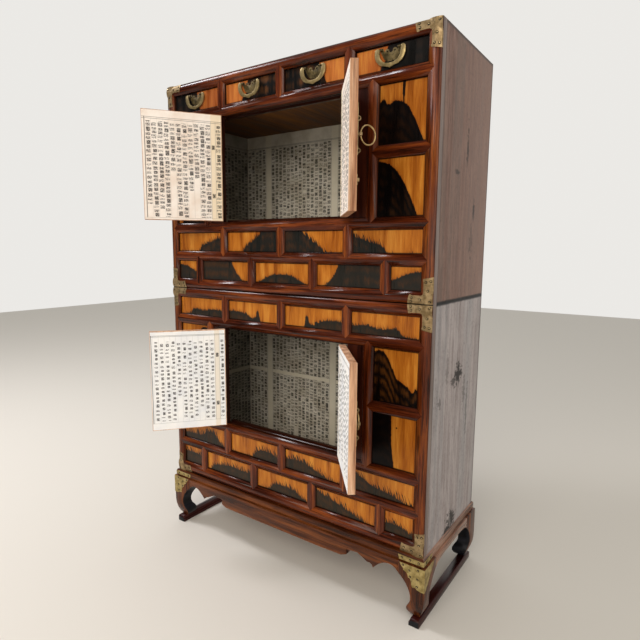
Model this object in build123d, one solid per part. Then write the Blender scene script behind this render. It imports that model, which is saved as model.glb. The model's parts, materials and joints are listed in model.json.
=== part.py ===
from build123d import *
import os
from math import cos, pi, sqrt

# Korean two tier clothes chest: two stacked chests with persimmon panels on a low stand.
# Millimetres. X to the right, the front faces -Y, +Z up, origin on the floor at the middle
# of the chests. Depths are counted from the crest of the rounded front members, towards the back.

os.makedirs("parts", exist_ok=True)

# ------------------------------------------------------------------ driving sizes
CASE_WIDTH = 900.0
CASE_DEPTH = 357.0
STAND_HEIGHT = 184.0
LOWER_HEIGHT = 627.0
UPPER_HEIGHT = 619.0

# rounded members of the front frames
MEMBER_WIDTH = 30.0
POST_WIDTH = 32.0
SILL_DROP = 21.0          # the lowest rail is wider below its crest
CREST_RISE = 4.0          # rise of the convex face
EDGE_ROUND = 1.4
CREST_FACETS = 2          # flat facets from the crest to each edge
FRAME_DEPTH = 24.0
PANEL_RECESS = 8.0        # also the depth of the pointed mitres
PANEL_THICKNESS = 8.0
GROOVE = 5.0
TENON_LENGTH = 12.0
TENON_THICKNESS = 6.0
TENON_WIDTH = 12.0

# rows of the front
ROW = 86.5                # crest to crest, the two rows under the doors
TOP_ROW = 85.5            # the drawer row, and the row over the lower doors
SIDE_BAY = 151.0          # from the crest of a post to the crest of the door upright
JAMB_SPAN = 48.5          # from the side of the door upright to the hinge pin

# case boards
SIDE_THICKNESS = 18.0
TOP_THICKNESS = 16.0
BOTTOM_THICKNESS = 14.0
BACK_THICKNESS = 12.0
BACK_BOARDS = 3
STOP_HEIGHT = 6.0         # door stops behind the rails
STOP_THICKNESS = 9.0

# doors
DOOR_FACE = 6.0           # depth of the door face behind the crests
DOOR_THICKNESS = 17.0
DOOR_GAP = 1.5
DOOR_FRAME_WIDTH = 26.0
DOOR_PANEL_RECESS = 0.8
JAMB_THICKNESS = 14.0     # flat board between the door upright and the door
BEAD_WIDTH = 3.2
BEAD_PROUD = 1.8
UPPER_LEFT_OPEN = 126.0
UPPER_RIGHT_OPEN = 127.0
LOWER_LEFT_OPEN = 129.5
LOWER_RIGHT_OPEN = 129.0

# hinges
LEAF_WIDTH = 22.0
LEAF_HEIGHT = 42.0
LEAF_THICKNESS = 1.2
KNUCKLE_RADIUS = 3.2
KNUCKLE_LENGTH = 14.0
KNUCKLE_GAP = 0.3
PIN_RADIUS = 1.3
PIN_CLEARANCE = 0.08
HINGE_INSET = 58.0        # hinge centre from the door's top and bottom edge

# lock plates, staples and rings
PLATE_RADIUS = 51.0
PLATE_THICKNESS = 1.2
PLATE_RISE = 14.0         # plate centre above the door's centre
STUD_FROM_EDGE = 20.0
STUD_DROP = 6.0
STUD_OUT = 7.0
STUD_RADIUS = 3.6
STUD_NECK = 1.8
EYE_CLEARANCE = 0.7
RING_RADIUS = 19.8
RING_WIRE = 1.6
RING_RUNS = 20            # short straight runs that make up the ring
WIRE_SIDES = 6
BAR_SIDES = 8
DISC_SIDES = 32
STAPLE_UP = 25.0
STAPLE_DOWN = 39.0
STAPLE_HALF = 4.2
STAPLE_OUT = 6.4
STAPLE_WIRE = 1.3
KEEPER_DROP = 100.0       # small plate below the lock plate of the upper doors
KEEPER_RADIUS = 11.0
KEEPER_KNOB = 4.0
RING_REST = 33.0          # the one ring that stands out, from the door's outward normal

# drawers
DRAWER_GAP = 1.0
DRAWER_FACE = 8.0
DRAWER_FRONT = 14.0
DRAWER_WALL = 8.0
DRAWER_FLOOR = 5.0
DRAWER_BACK_GAP = 12.0
DRAWER_WALL_DROP = 10.0   # sides and back are lower than the front
DUST_BOARD = 10.0
GUIDE_HEIGHT = 12.0
DIVIDER_WEB = 8.0

# drawer pulls
PULL_WIDTH = 78.0
PULL_HEIGHT = 45.0
PULL_PLATE_THICKNESS = 1.0
BAIL_THICKNESS = 3.0
BAIL_OUT = 5.5            # bail centre in front of the drawer face
BAIL_PIVOT_RISE = 17.0    # the tips of the bail end 4 above it, clear of the drawer
BAIL_TIP = 27.0           # inner edge of the bail's tips, from the middle
EYE_GAP = 1.2             # between a tip and the eye beside it
POST_OUTSIDE = 3.2
POST_STEM = 2.3
POST_EYE = 1.6
BAIL_PIN = 1.4
SCROLL_HOLE = 2.2

# corner brasses
BRASS = 1.0
BRASS_LONG = 64.0
BRASS_RAIL_ARM = 22.0
BRASS_POST_ARM = 25.0
BRASS_SLANT = 5.0         # the ends slant by this much
BRASS_TOOTH = 1.5
BRASS_INNER = 6.0         # round of the inner corner

# stand
BAND_HEIGHT = 21.0
BAND_PROUD = 5.0
BAND_WIDTH = 42.0
BAND_BEVEL = 3.0
KNEE_PROUD = 10.0
APRON_THICKNESS = 20.0
LEG_BLOCK = 62.0
KNEE_DROP = 62.0          # from the band to where the knee starts to curve in
TOE_IN = 8.0
TOE_WIDTH = 20.0
ARCH_SPRING = 31.0        # drops from the band: where the arch leaves the leg block,
ARCH_RISE = 18.0          # its highest point,
LOBE_DROP = 49.0          # and the lowest point of the apron's middle lobe
CUSP = (133.0, 47.0)      # from the side of the case, and drop from the band
NOTCH = (150.0, 37.0)
SECOND_RISE = (180.0, 22.0)
LOBE_START = (225.0, 27.0)
STRAP_INSET = 4.5         # brass strap, from the edges of the band
# scalloped edge of the knee plate: distance in from the side of the case, drop from the band
KNEE_FRONT = [(57, 0), (53, 8), (47, 13), (46, 18), (39, 21), (35, 26), (33, 33), (27, 36), (24, 44),
              (24, 51), (20, 56), (13, 54), (8, 58), (0, 60), (-11, 60)]
KNEE_SIDE = [(45, 0), (42, 11), (34, 18), (31, 25), (23, 29), (19, 34), (14, 40), (11, 47), (3, 51),
             (0, 58), (-11, 60)]
RUNNER_HEIGHT = 20.0
RUNNER_WIDTH = 28.0
RUNNER_INSET = 1.0
RUNNER_PAST = 9.0         # runner beyond the case, front and back
RUNNER_STEP = 4.0
RUNNER_BEVEL = 2.0

# ------------------------------------------------------------------ worked out
HALF = MEMBER_WIDTH / 2
POST_HALF = POST_WIDTH / 2
SIDE = CASE_WIDTH / 2
FRONT = -CASE_DEPTH / 2
BACK = CASE_DEPTH / 2
FRAME_BACK = FRONT + FRAME_DEPTH
POST_CREST = SIDE - POST_HALF
POST_INNER = SIDE - POST_WIDTH
DOOR_POST = POST_CREST - SIDE_BAY
HINGE_OFFSET = DOOR_POST - HALF - JAMB_SPAN
COLUMN = POST_CREST / 2
COLUMNS_OF_FOUR = [-COLUMN, 0.0, COLUMN]
COLUMNS_OF_FIVE = [-1.5 * COLUMN, -0.5 * COLUMN, 0.5 * COLUMN, 1.5 * COLUMN]
SEAM = STAND_HEIGHT + LOWER_HEIGHT
TOP = SEAM + UPPER_HEIGHT
INNER_SIDE = SIDE - SIDE_THICKNESS
UNDER_BAND = STAND_HEIGHT - BAND_HEIGHT
BACK_FACE = BACK - BACK_THICKNESS


def block(x, y, z):
    """A block from its low and high x, y and z."""
    size = Box(x[1] - x[0], y[1] - y[0], z[1] - z[0])
    return Pos((x[0] + x[1]) / 2, (y[0] + y[1]) / 2, (z[0] + z[1]) / 2) * size


def front_solid(face, y0, y1):
    """A face drawn on the front, in x and z, made solid from depth y0 to y1."""
    placed = Plane(origin=(0, y1, 0), x_dir=(1, 0, 0), z_dir=(0, -1, 0)) * face
    return extrude(placed, amount=y1 - y0, dir=(0, -1, 0))


def front_prism(points, y0, y1):
    """The same for an outline of straight lines."""
    return front_solid(make_face(Polyline(*points, close=True)), y0, y1)


def mitred_ring(x, z, width, y0, y1):
    """Four bars with mitred ends, just inside the rectangle x, z."""
    outer = [(x[0], z[0]), (x[1], z[0]), (x[1], z[1]), (x[0], z[1])]
    inner = [(x[0] + width, z[0] + width), (x[1] - width, z[0] + width),
             (x[1] - width, z[1] - width), (x[0] + width, z[1] - width)]
    turns = [(0, 1), (1, 2), (2, 3), (3, 0)]
    return [front_prism([outer[a], outer[b], inner[b], inner[a]], y0, y1) for a, b in turns]


def side_prism(face, x0, x1):
    """A face drawn in y and z, made solid from x0 to x1."""
    placed = Plane(origin=(x0, 0, 0), x_dir=(0, 1, 0), z_dir=(1, 0, 0)) * face
    return extrude(placed, amount=x1 - x0, dir=(1, 0, 0))


def mirrored(shape):
    return mirror(shape, Plane.YZ)


def save(name, shapes):
    """One node: its separate solids in one file."""
    solids = [solid for shape in shapes for solid in shape.solids()]
    export_step(Compound(children=solids) if len(solids) > 1 else solids[0], f"parts/{name}.step")


def faceted(curve, runs):
    """The curve as a few straight runs between points on it."""
    return Polyline(*[curve @ (step / runs) for step in range(runs + 1)])


def many_sided(radius, length, sides=BAR_SIDES):
    """A bar with flat sides along z, about its middle, inside a round one of that radius."""
    return extrude(RegularPolygon(radius, sides), amount=length / 2, both=True)


def bent_wire(path, radius):
    """Wire of a small many sided section along straight runs."""
    section = Plane(origin=path @ 0, z_dir=path % 0) * RegularPolygon(radius, WIRE_SIDES)
    return sweep(section, path=path, transition=Transition.RIGHT)


# ------------------------------------------------------------------ rounded frame members
def crest_drop(half, across):
    """How far the convex face has fallen behind its crest."""
    radius = (half**2 + CREST_RISE**2) / (2 * CREST_RISE)
    return radius - sqrt(radius**2 - across**2)


def member_section(low, high):
    """Section of a member about its crest: across it in x, behind the crest in y."""
    below = ThreePointArc((-low + EDGE_ROUND, crest_drop(low, low - EDGE_ROUND)),
                          (-low / 2, crest_drop(low, low / 2)), (0, 0))
    above = ThreePointArc((0, 0), (high / 2, crest_drop(high, high / 2)),
                          (high - EDGE_ROUND, crest_drop(high, high - EDGE_ROUND)))
    lines = [
        faceted(below, CREST_FACETS),
        faceted(above, CREST_FACETS),
        Polyline((high - EDGE_ROUND, crest_drop(high, high - EDGE_ROUND)),
                 (high, CREST_RISE + EDGE_ROUND), (high, FRAME_DEPTH), (-low, FRAME_DEPTH),
                 (-low, CREST_RISE + EDGE_ROUND),
                 (-low + EDGE_ROUND, crest_drop(low, low - EDGE_ROUND))),
    ]
    return make_face(lines)


def upright_bar(x, z0, z1, half):
    return Pos(x, FRONT, z0) * extrude(member_section(half, half), amount=z1 - z0)


def level_bar(z, x0, x1, below=HALF, above=HALF):
    place = Plane(origin=(x1, FRONT, z), x_dir=(0, 0, 1), z_dir=(-1, 0, 0))
    return place * extrude(member_section(below, above), amount=x1 - x0)


def rail(z, start, end, below=HALF, above=HALF, corner=None):
    """A level member. start and end are (crest line met, its half width) of the uprights.

    Its front layer ends in a point on the crest that it meets, or in a corner mitre, and the
    layer behind has square shoulders and a tenon.
    """
    (x0, reach0), (x1, reach1) = start, end
    low0 = x0 - reach0 if corner == "bottom" else x0 + reach0
    high0 = x0 - reach0 if corner == "top" else x0 + reach0
    low1 = x1 + reach1 if corner == "bottom" else x1 - reach1
    high1 = x1 + reach1 if corner == "top" else x1 - reach1
    outline = [(low0, z - below), (low1, z - below), (x1, z), (high1, z + above),
               (high0, z + above), (x0, z)]
    split = FRONT + PANEL_RECESS
    stencil = front_prism(outline, FRONT, split)
    stencil += block((x0 + reach0, x1 - reach1), (split, FRAME_BACK), (z - below, z + above))
    tenon_y = (split + TENON_THICKNESS / 2, split + 1.5 * TENON_THICKNESS)
    tenon_z = (z - TENON_WIDTH / 2, z + TENON_WIDTH / 2)
    tenon = block((x0 + reach0 - TENON_LENGTH, x1 - reach1 + TENON_LENGTH), tenon_y, tenon_z)
    return level_bar(z, x0 - reach0, x1 + reach1, below, above) & stencil + tenon


def short_upright(x, z0, z1):
    """An upright between the rails with crests at z0 and z1, pointed at both ends."""
    outline = [(x - HALF, z0 + HALF), (x, z0), (x + HALF, z0 + HALF),
               (x + HALF, z1 - HALF), (x, z1), (x - HALF, z1 - HALF)]
    split = FRONT + PANEL_RECESS
    stencil = front_prism(outline, FRONT, split)
    stencil += block((x - HALF, x + HALF), (split, FRAME_BACK), (z0 + HALF, z1 - HALF))
    tenon_y = (split + TENON_THICKNESS / 2, split + 1.5 * TENON_THICKNESS)
    tenon_x = (x - TENON_WIDTH / 2, x + TENON_WIDTH / 2)
    stencil += block(tenon_x, tenon_y, (z0 + HALF - TENON_LENGTH, z1 - HALF + TENON_LENGTH))
    return upright_bar(x, z0, z1, HALF) & stencil


def panel_layer(x, z):
    """A block in the layer of the panels: a panel, or the groove that takes its edge."""
    return block(x, (FRONT + PANEL_RECESS, FRONT + PANEL_RECESS + PANEL_THICKNESS), z)


def panel(x0, x1, z0, z1):
    """A thin panel that fills the gap x0..x1, z0..z1 and runs into the grooves round it."""
    return panel_layer((x0 - GROOVE, x1 + GROOVE), (z0 - GROOVE, z1 + GROOVE))


def rail_grooves(low, high):
    """The grooves of one row, ploughed along the rails with crests at low and high."""
    along = (-POST_INNER, POST_INNER)
    return [panel_layer(along, (low + HALF - GROOVE, low + HALF)),
            panel_layer(along, (high - HALF, high - HALF + GROOVE))]


def gaps_between(crests):
    """The gaps of one row, as x spans, between the posts and the short uprights."""
    edges = [-POST_INNER] + [x + way for x in crests for way in (-HALF, HALF)] + [POST_INNER]
    return list(zip(edges[0::2], edges[1::2]))


def row_of_panels(crests, z0, z1):
    return [panel(x0, x1, z0 + HALF, z1 - HALF) for x0, x1 in gaps_between(crests)]


def front_frame(base, top, rails, rows, door_zone, extra_rows=()):
    """Posts, rails, uprights, panels and jamb boards of one chest's front.

    rails are crest heights from the bottom up, rows are (low crest, high crest, columns) with
    panels, extra_rows have uprights but no panels, and door_zone is the pair of door rails.
    """
    posts = [(-POST_CREST, POST_HALF), (POST_CREST, POST_HALF)]
    level = [rail(rails[0], *posts, below=rails[0] - base, corner="bottom")]
    level += [rail(z, *posts) for z in rails[1:-1]]
    level += [rail(rails[-1], *posts, above=top - rails[-1], corner="top")]
    uprights, panels, grooves = [], [], []
    for low, high, columns in list(rows) + list(extra_rows):
        uprights += [short_upright(x, low, high) for x in columns]
    for low, high, columns in rows:
        panels += row_of_panels(columns, low, high)
        grooves += rail_grooves(low, high)
    low, high = door_zone
    in_post = panel_layer((POST_INNER, POST_INNER + GROOVE),
                          (rows[0][0] + HALF - GROOVE, max(high, rows[-1][1]) - HALF + GROOVE))
    middle = (low + high) / 2
    bays, jambs, side_rails = [], [], []
    for side in (-1, 1):
        ends = sorted([(side * POST_CREST, POST_HALF), (side * DOOR_POST, HALF)])
        side_rails.append(rail(middle, *ends))
        uprights.append(short_upright(side * DOOR_POST, low, high) - side_rails[-1])
        bay = sorted([side * POST_INNER, side * (DOOR_POST + HALF)])
        bays.append(panel(bay[0], bay[1], low + HALF, middle - HALF))
        bays.append(panel(bay[0], bay[1], middle + HALF, high - HALF))
        span = sorted([side * (DOOR_POST - HALF + GROOVE), side * (HINGE_OFFSET + DOOR_GAP / 2)])
        jambs.append(block(span, (FRONT + DOOR_FACE, FRONT + DOOR_FACE + JAMB_THICKNESS),
                           (low + HALF - GROOVE, high - HALF + GROOVE)))
    panels += bays
    uprights = [bar - panels - jambs for bar in uprights]
    level = [bar - uprights - grooves - bays - jambs for bar in level]
    level += [bar - bays for bar in side_rails]
    stile = upright_bar(POST_CREST, base, top, POST_HALF) - level - in_post
    stiles = [stile, mirrored(stile)]
    stops = []
    for z, way in ((low, 1), (high, -1)):
        span = sorted([z, z + way * (HALF + STOP_HEIGHT)])
        stops.append(block((-HINGE_OFFSET, HINGE_OFFSET),
                           (FRAME_BACK, FRAME_BACK + STOP_THICKNESS), span))
    return stiles, level, uprights, panels, jambs, stops


# ------------------------------------------------------------------ case boards
def case_boards(base, top, top_thickness):
    """Sides, top, bottom and back boards behind the front frame of one chest."""
    depth = (FRAME_BACK, BACK)
    side = block((INNER_SIDE, SIDE), depth, (base, top))
    sides = [side, mirrored(side)]
    width = (-INNER_SIDE, INNER_SIDE)
    top_board = block(width, depth, (top - top_thickness, top))
    bottom_board = block(width, depth, (base, base + BOTTOM_THICKNESS))
    low, high = base + BOTTOM_THICKNESS, top - top_thickness
    tall = (high - low) / BACK_BOARDS
    back = []
    for number in range(BACK_BOARDS):
        board = block(width, (BACK_FACE, BACK), (low + number * tall, low + (number + 1) * tall))
        long_edges = board.edges().filter_by(Axis.X).group_by(Axis.Y)[-1]
        back.append(chamfer(long_edges, EDGE_ROUND))
    return sides, top_board, bottom_board, back


# ------------------------------------------------------------------ corner brasses
def corner_outline(rail_arm, post_arm):
    """Outline of a corner brass: slanted ends, a tooth beside each, a rounded inner corner."""
    end = BRASS_LONG - BRASS_SLANT
    tooth = end - BRASS_SLANT
    rail, post = rail_arm - BRASS_TOOTH, post_arm - BRASS_TOOTH
    far, near = BRASS_INNER, 0.3 * BRASS_INNER
    return [(0, 0), (BRASS_LONG, 0), (end, rail_arm), (tooth, rail_arm), (tooth - BRASS_TOOTH, rail),
            (post + far, rail), (post + near, rail + near), (post, rail + far),
            (post, tooth - BRASS_TOOTH), (post_arm, tooth), (post_arm, end), (0, BRASS_LONG)]


def corner_brass(corner_z, way, stock, rail_arm=BRASS_RAIL_ARM):
    """A thin L of brass on the right corner, bent over the rounded members of stock."""
    outline = [(SIDE - u, corner_z + way * v) for u, v in corner_outline(rail_arm, BRASS_POST_ARM)]
    stencil = front_prism(outline, FRONT - BRASS, FRAME_BACK)
    return (Pos(0, -BRASS, 0) * stock & stencil) - stock


def corner_brasses(base, top, bottom_rail, top_rail):
    """The four corner brasses of one chest front."""
    below = bottom_rail - base
    above = top - top_rail
    right = []
    for z, low, high, way in ((base, below, HALF, 1), (top, HALF, above, -1)):
        crest = bottom_rail if way == 1 else top_rail
        reach = BRASS_LONG + POST_WIDTH
        z_far = z + way * reach
        stock = upright_bar(POST_CREST, min(z, z_far), max(z, z_far), POST_HALF)
        stock += level_bar(crest, SIDE - reach, SIDE, low, high)
        arm = BRASS_RAIL_ARM * (low if way == 1 else high) / HALF
        right.append(corner_brass(z, way, stock, min(arm, BRASS_POST_ARM)))
    return right + [mirrored(brass) for brass in right]


# ------------------------------------------------------------------ doors
HINGE_Y = FRONT + DOOR_FACE - KNUCKLE_RADIUS - 0.1


def hinge_heights(z0, z1):
    return [z0 + HINGE_INSET, z1 - HINGE_INSET]


def knuckle(z0, z1):
    return Pos(HINGE_OFFSET, HINGE_Y, (z0 + z1) / 2) * many_sided(KNUCKLE_RADIUS, z1 - z0)


def hinge_leaf(z, inner, outer):
    """A leaf on the door plane from x inner to outer, with clipped corners."""
    clip = 5.0
    half = LEAF_HEIGHT / 2
    away = 1 if outer > inner else -1
    outline = [(inner, z - half), (outer - away * clip, z - half), (outer, z - half + clip),
               (outer, z + half - clip), (outer - away * clip, z + half), (inner, z + half)]
    face = FRONT + DOOR_FACE
    return front_prism(outline, face - LEAF_THICKNESS, face)


def knuckle_room(low, high):
    """Space to leave round a knuckle from height low to high."""
    room = KNUCKLE_RADIUS + KNUCKLE_GAP
    return block((HINGE_OFFSET - room, HINGE_OFFSET + room), (HINGE_Y - room, FRONT + DOOR_FACE),
                 (low, high))


def hinge(z):
    """Fixed and moving half of one hinge of the right hand door, at height z."""
    low, high = z - KNUCKLE_LENGTH / 2, z + KNUCKLE_LENGTH / 2
    ends = [(low - KNUCKLE_LENGTH, low - KNUCKLE_GAP), (high + KNUCKLE_GAP, high + KNUCKLE_LENGTH)]
    fixed = hinge_leaf(z, HINGE_OFFSET, HINGE_OFFSET + LEAF_WIDTH)
    fixed -= knuckle_room(low - KNUCKLE_GAP, high + KNUCKLE_GAP)
    moving = hinge_leaf(z, HINGE_OFFSET, HINGE_OFFSET - LEAF_WIDTH)
    moving -= knuckle_room(z - LEAF_HEIGHT, low)
    moving -= knuckle_room(high, z + LEAF_HEIGHT)
    for end in ends:
        fixed += knuckle(*end)
    pin = Pos(HINGE_OFFSET, HINGE_Y, z)
    fixed += pin * Cylinder(PIN_RADIUS, ends[1][1] - ends[0][0] - 1)
    moving += knuckle(low, high)
    room = (PIN_RADIUS + PIN_CLEARANCE) / cos(pi / BAR_SIDES)
    moving -= pin * many_sided(room, 3 * KNUCKLE_LENGTH)
    return fixed, moving


def door_leaf(z0, z1, plate_z):
    """Frame and panel of the right hand door, closed."""
    x0, x1 = DOOR_GAP / 2, HINGE_OFFSET - DOOR_GAP / 2
    face = FRONT + DOOR_FACE
    back = face + DOOR_THICKNESS
    wide = DOOR_FRAME_WIDTH
    bars = mitred_ring((x0, x1), (z0, z1), wide, face, back)
    edge = wide - BEAD_WIDTH
    beads = mitred_ring((x0 + edge, x1 - edge), (z0 + edge, z1 - edge), BEAD_WIDTH,
                        face - BEAD_PROUD, face)
    plate_room = many_sided(PLATE_RADIUS + 1, 8 * BEAD_PROUD, DISC_SIDES)
    plate_room = Pos(0, face, plate_z) * Rot(90, 0, 0) * plate_room
    bars = [bar + (bead - plate_room) for bar, bead in zip(bars, beads)]
    field = block((x0 + wide, x1 - wide), (face + DOOR_PANEL_RECESS, back), (z0 + wide, z1 - wide))
    return bars, field


def half_disc(radius, z, y0, y1):
    """The right half of a disc that the meeting edges of the doors cut in two."""
    disc = Pos(0, (y0 + y1) / 2, z) * Rot(90, 0, 0) * many_sided(radius, y1 - y0, DISC_SIDES)
    return disc & block((DOOR_GAP / 2, radius), (y0, y1), (z - radius, z + radius))


def staple(z):
    """A small bent wire on the lock plate, standing out from the door."""
    face = FRONT + DOOR_FACE
    outer = face - PLATE_THICKNESS - STAPLE_OUT
    shoulder = outer + 0.6 * STAPLE_HALF
    bend = 0.4 * STAPLE_HALF
    path = Polyline((0, face, z - STAPLE_HALF), (0, shoulder, z - STAPLE_HALF),
                    (0, outer, z - bend), (0, outer, z + bend),
                    (0, shoulder, z + STAPLE_HALF), (0, face, z + STAPLE_HALF))
    return Pos(STUD_FROM_EDGE, 0, 0) * bent_wire(path, STAPLE_WIRE)


def stud():
    """A button on a neck, with an upright eye for the ring; its middle is at the origin."""
    button = chamfer(Box(2 * STUD_RADIUS, 2 * STUD_RADIUS, 2 * STUD_RADIUS).edges(), 0.3 * STUD_RADIUS)
    neck = Pos(0, STUD_OUT / 2, 0) * Rot(90, 0, 0) * many_sided(STUD_NECK, STUD_OUT)
    return button + neck - Cylinder(RING_WIRE + EYE_CLEARANCE, 4 * STUD_RADIUS)


def lock_plate(centre, keeper):
    """Half of the round lock plate with its stud and staples, for the right hand door."""
    face = FRONT + DOOR_FACE
    outside = face - PLATE_THICKNESS
    plate = half_disc(PLATE_RADIUS, centre, outside, face)
    stud_at = (STUD_FROM_EDGE, outside - STUD_OUT, centre - STUD_DROP)
    plate += Pos(*stud_at) * stud()
    plate += staple(centre + STAPLE_UP) + staple(centre - STAPLE_DOWN)
    pieces = [plate]
    if keeper:
        z = centre - KEEPER_DROP
        small = half_disc(KEEPER_RADIUS, z, outside, face)
        knob = Pos(KEEPER_RADIUS / 2, outside - KEEPER_KNOB / 2, z) * Rot(90, 0, 0)
        pieces.append(small + knob * many_sided(KEEPER_KNOB, KEEPER_KNOB))
    return pieces, stud_at


def pull_ring(stud_at, turn):
    """A ring through the stud's eye; turn is its angle from straight out, towards the hinge."""
    corner = RING_RADIUS / cos(pi / RING_RUNS)
    step = 360 / RING_RUNS
    corners = [Vector(corner, 0, 0).rotate(Axis.Y, (number + 0.5) * step)
               for number in range(RING_RUNS)]
    start = (corners[0] + corners[-1]) * 0.5
    ring = bent_wire(Polyline(start, *corners, close=True), RING_WIRE)
    return Pos(*stud_at) * Rot(0, 0, -90 + turn) * Pos(RING_RADIUS, 0, 0) * ring


def door_set(z0, z1, keeper, ring_turn, opened, left):
    """All pieces of one door at its rest angle, and the fixed halves of its hinges."""
    plate_z = (z0 + z1) / 2 + PLATE_RISE
    bars, field = door_leaf(z0, z1, plate_z)
    plates, stud = lock_plate(plate_z, keeper)
    halves = [hinge(z) for z in hinge_heights(z0, z1)]
    fixed = [half[0] for half in halves]
    brasses = plates + [half[1] for half in halves]
    ring = pull_ring(stud, ring_turn)
    swing = Pos(HINGE_OFFSET, HINGE_Y, 0) * Rot(0, 0, opened) * Pos(-HINGE_OFFSET, -HINGE_Y, 0)
    groups = [[swing * piece for piece in group] for group in (bars, [field], brasses, [ring])]
    if left:
        groups = [[mirrored(piece) for piece in group] for group in groups]
        fixed = [mirrored(piece) for piece in fixed]
    return groups, fixed


# ------------------------------------------------------------------ drawers
def drawer(x0, x1, z0, z1):
    """Front and box of one drawer in the gap x0..x1, z0..z1."""
    x0, x1, z0, z1 = x0 + DRAWER_GAP, x1 - DRAWER_GAP, z0 + DRAWER_GAP / 2, z1 - DRAWER_GAP
    face = FRONT + DRAWER_FACE
    front = block((x0, x1), (face, face + DRAWER_FRONT), (z0, z1))
    front = chamfer(front.faces().sort_by(Axis.Y)[0].edges(), 1.0)
    y0, y1 = face + DRAWER_FRONT, BACK_FACE - DRAWER_BACK_GAP
    wall_top = z1 - DRAWER_WALL_DROP
    sides = [block((x0, x0 + DRAWER_WALL), (y0, y1), (z0, wall_top)),
             block((x1 - DRAWER_WALL, x1), (y0, y1), (z0, wall_top))]
    inner = (x0 + DRAWER_WALL, x1 - DRAWER_WALL)
    back = block(inner, (y1 - DRAWER_WALL, y1), (z0, wall_top))
    floor = block(inner, (y0, y1 - DRAWER_WALL), (z0, z0 + DRAWER_FLOOR))
    return front, sides + [back, floor]


def pull_point(x, z):
    """A point of a pull that is drawn 78 wide and 45 high, at the size it is made."""
    return (x * PULL_WIDTH / 78, z * PULL_HEIGHT / 45)


def both_sides(lines):
    """The lines and their mirror images."""
    return lines + [mirror(line, Plane.YZ) for line in lines]


def bail_face():
    """Bail about the middle of the pull: a crescent with round tips and a point at the bottom."""
    inner_tip, inner_end = pull_point(27, 19), pull_point(27.5, 9)
    outer_tip, flank = pull_point(39, 12), pull_point(22, -18)
    right = [
        faceted(ThreePointArc(inner_tip, pull_point(34, 20.6), outer_tip), 3),
        faceted(ThreePointArc(outer_tip, pull_point(35, -6), flank), 4),
        faceted(ThreePointArc(flank, pull_point(10, -20.5), pull_point(0, -24)), 2),
        Line(inner_tip, inner_end),
        faceted(ThreePointArc(inner_end, pull_point(19, -8.5), pull_point(0, -14)), 4),
    ]
    return make_face(both_sides(right))


def pull_plate_face():
    """Back plate about the middle of the pull: a bat with two scrolls, pierced in each scroll."""
    low, wing, scroll = pull_point(0, -9), pull_point(21.5, 5), pull_point(16, 12.5)
    scroll_end = pull_point(4, 12)
    right = [
        faceted(ThreePointArc(low, pull_point(14, -6), wing), 3),
        Polyline(wing, pull_point(26.5, 14), pull_point(26, 20.5), pull_point(19, 20.5), scroll),
        faceted(ThreePointArc(scroll, pull_point(9.5, 19), scroll_end), 4),
        Line(scroll_end, pull_point(0, 9)),
    ]
    face = make_face(both_sides(right))
    for side in (-1, 1):
        x, z = pull_point(side * 9.5, 13)
        face -= Pos(x, z) * RegularPolygon(SCROLL_HOLE, 6)
    return face


def drawer_pull(x, z):
    """Back plate with its two eyes, and the bail that hangs in them."""
    face = FRONT + DRAWER_FACE
    centre = face - BAIL_OUT
    middle = Pos(x, 0, z)
    plate = middle * front_solid(pull_plate_face(), face - PULL_PLATE_THICKNESS, face)
    bail = middle * front_solid(bail_face(), centre - BAIL_THICKNESS / 2, centre + BAIL_THICKNESS / 2)
    eye_x = BAIL_TIP - EYE_GAP - POST_OUTSIDE
    pin_end = BAIL_TIP + BAIL_THICKNESS
    pivot_z = z + BAIL_PIVOT_RISE
    for side in (-1, 1):
        eye = Pos(x + side * eye_x, centre, pivot_z) * Rot(0, 90, 0)
        stem = Pos(x + side * eye_x, (centre + face) / 2, pivot_z) * Rot(90, 0, 0)
        plate += stem * many_sided(POST_STEM, BAIL_OUT)
        plate += eye * many_sided(POST_OUTSIDE, 2 * POST_OUTSIDE)
        plate -= eye * many_sided(POST_EYE / cos(pi / BAR_SIDES), 4 * POST_OUTSIDE)
        pin = Pos(x + side * (eye_x + pin_end) / 2, centre, pivot_z) * Rot(0, 90, 0)
        bail += pin * Cylinder(BAIL_PIN, pin_end - eye_x)
    return plate, bail


# ------------------------------------------------------------------ stand
def leg_face():
    """Leg outline from its outer corner: inwards in x, up in y. It is the same in both views."""
    top = UNDER_BAND
    knee = (-KNEE_PROUD, UNDER_BAND - KNEE_DROP)
    shoulder = (LEG_BLOCK, UNDER_BAND - ARCH_SPRING)
    toe_out, toe_in = (TOE_IN, RUNNER_HEIGHT), (TOE_IN + TOE_WIDTH, RUNNER_HEIGHT)
    shin = (3.5 - KNEE_PROUD, 52)
    calf, ankle, curl = (26.5, 74), (36, 50), (39.5, 34)
    hollow = (40, shoulder[1] - 22)
    lines = [
        Line((-KNEE_PROUD, top), knee),
        faceted(Spline(knee, shin, toe_out, tangents=((0, -1), (0.75, -1))), 6),
        Line(toe_out, toe_in),
        faceted(ThreePointArc(toe_in, curl, ankle), 4),
        faceted(Spline(shoulder, hollow, calf, ankle, tangents=((-1, -0.75), (0.9, -0.7))), 9),
        Line(shoulder, (LEG_BLOCK, top)),
        Line((LEG_BLOCK, top), (-KNEE_PROUD, top)),
    ]
    return make_face(lines)


def front_right_leg():
    """Cabriole leg sawn from a block in two directions."""
    plan = Plane(origin=(SIDE, BACK, 0), x_dir=(-1, 0, 0), z_dir=(0, 1, 0)) * leg_face()
    across = extrude(plan, amount=-(CASE_DEPTH + KNEE_PROUD), dir=(0, 1, 0))
    view = Plane(origin=(-SIDE, FRONT, 0), x_dir=(0, 1, 0), z_dir=(1, 0, 0)) * leg_face()
    along = extrude(view, amount=CASE_WIDTH + 2 * KNEE_PROUD, dir=(1, 0, 0))
    return across & along


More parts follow.
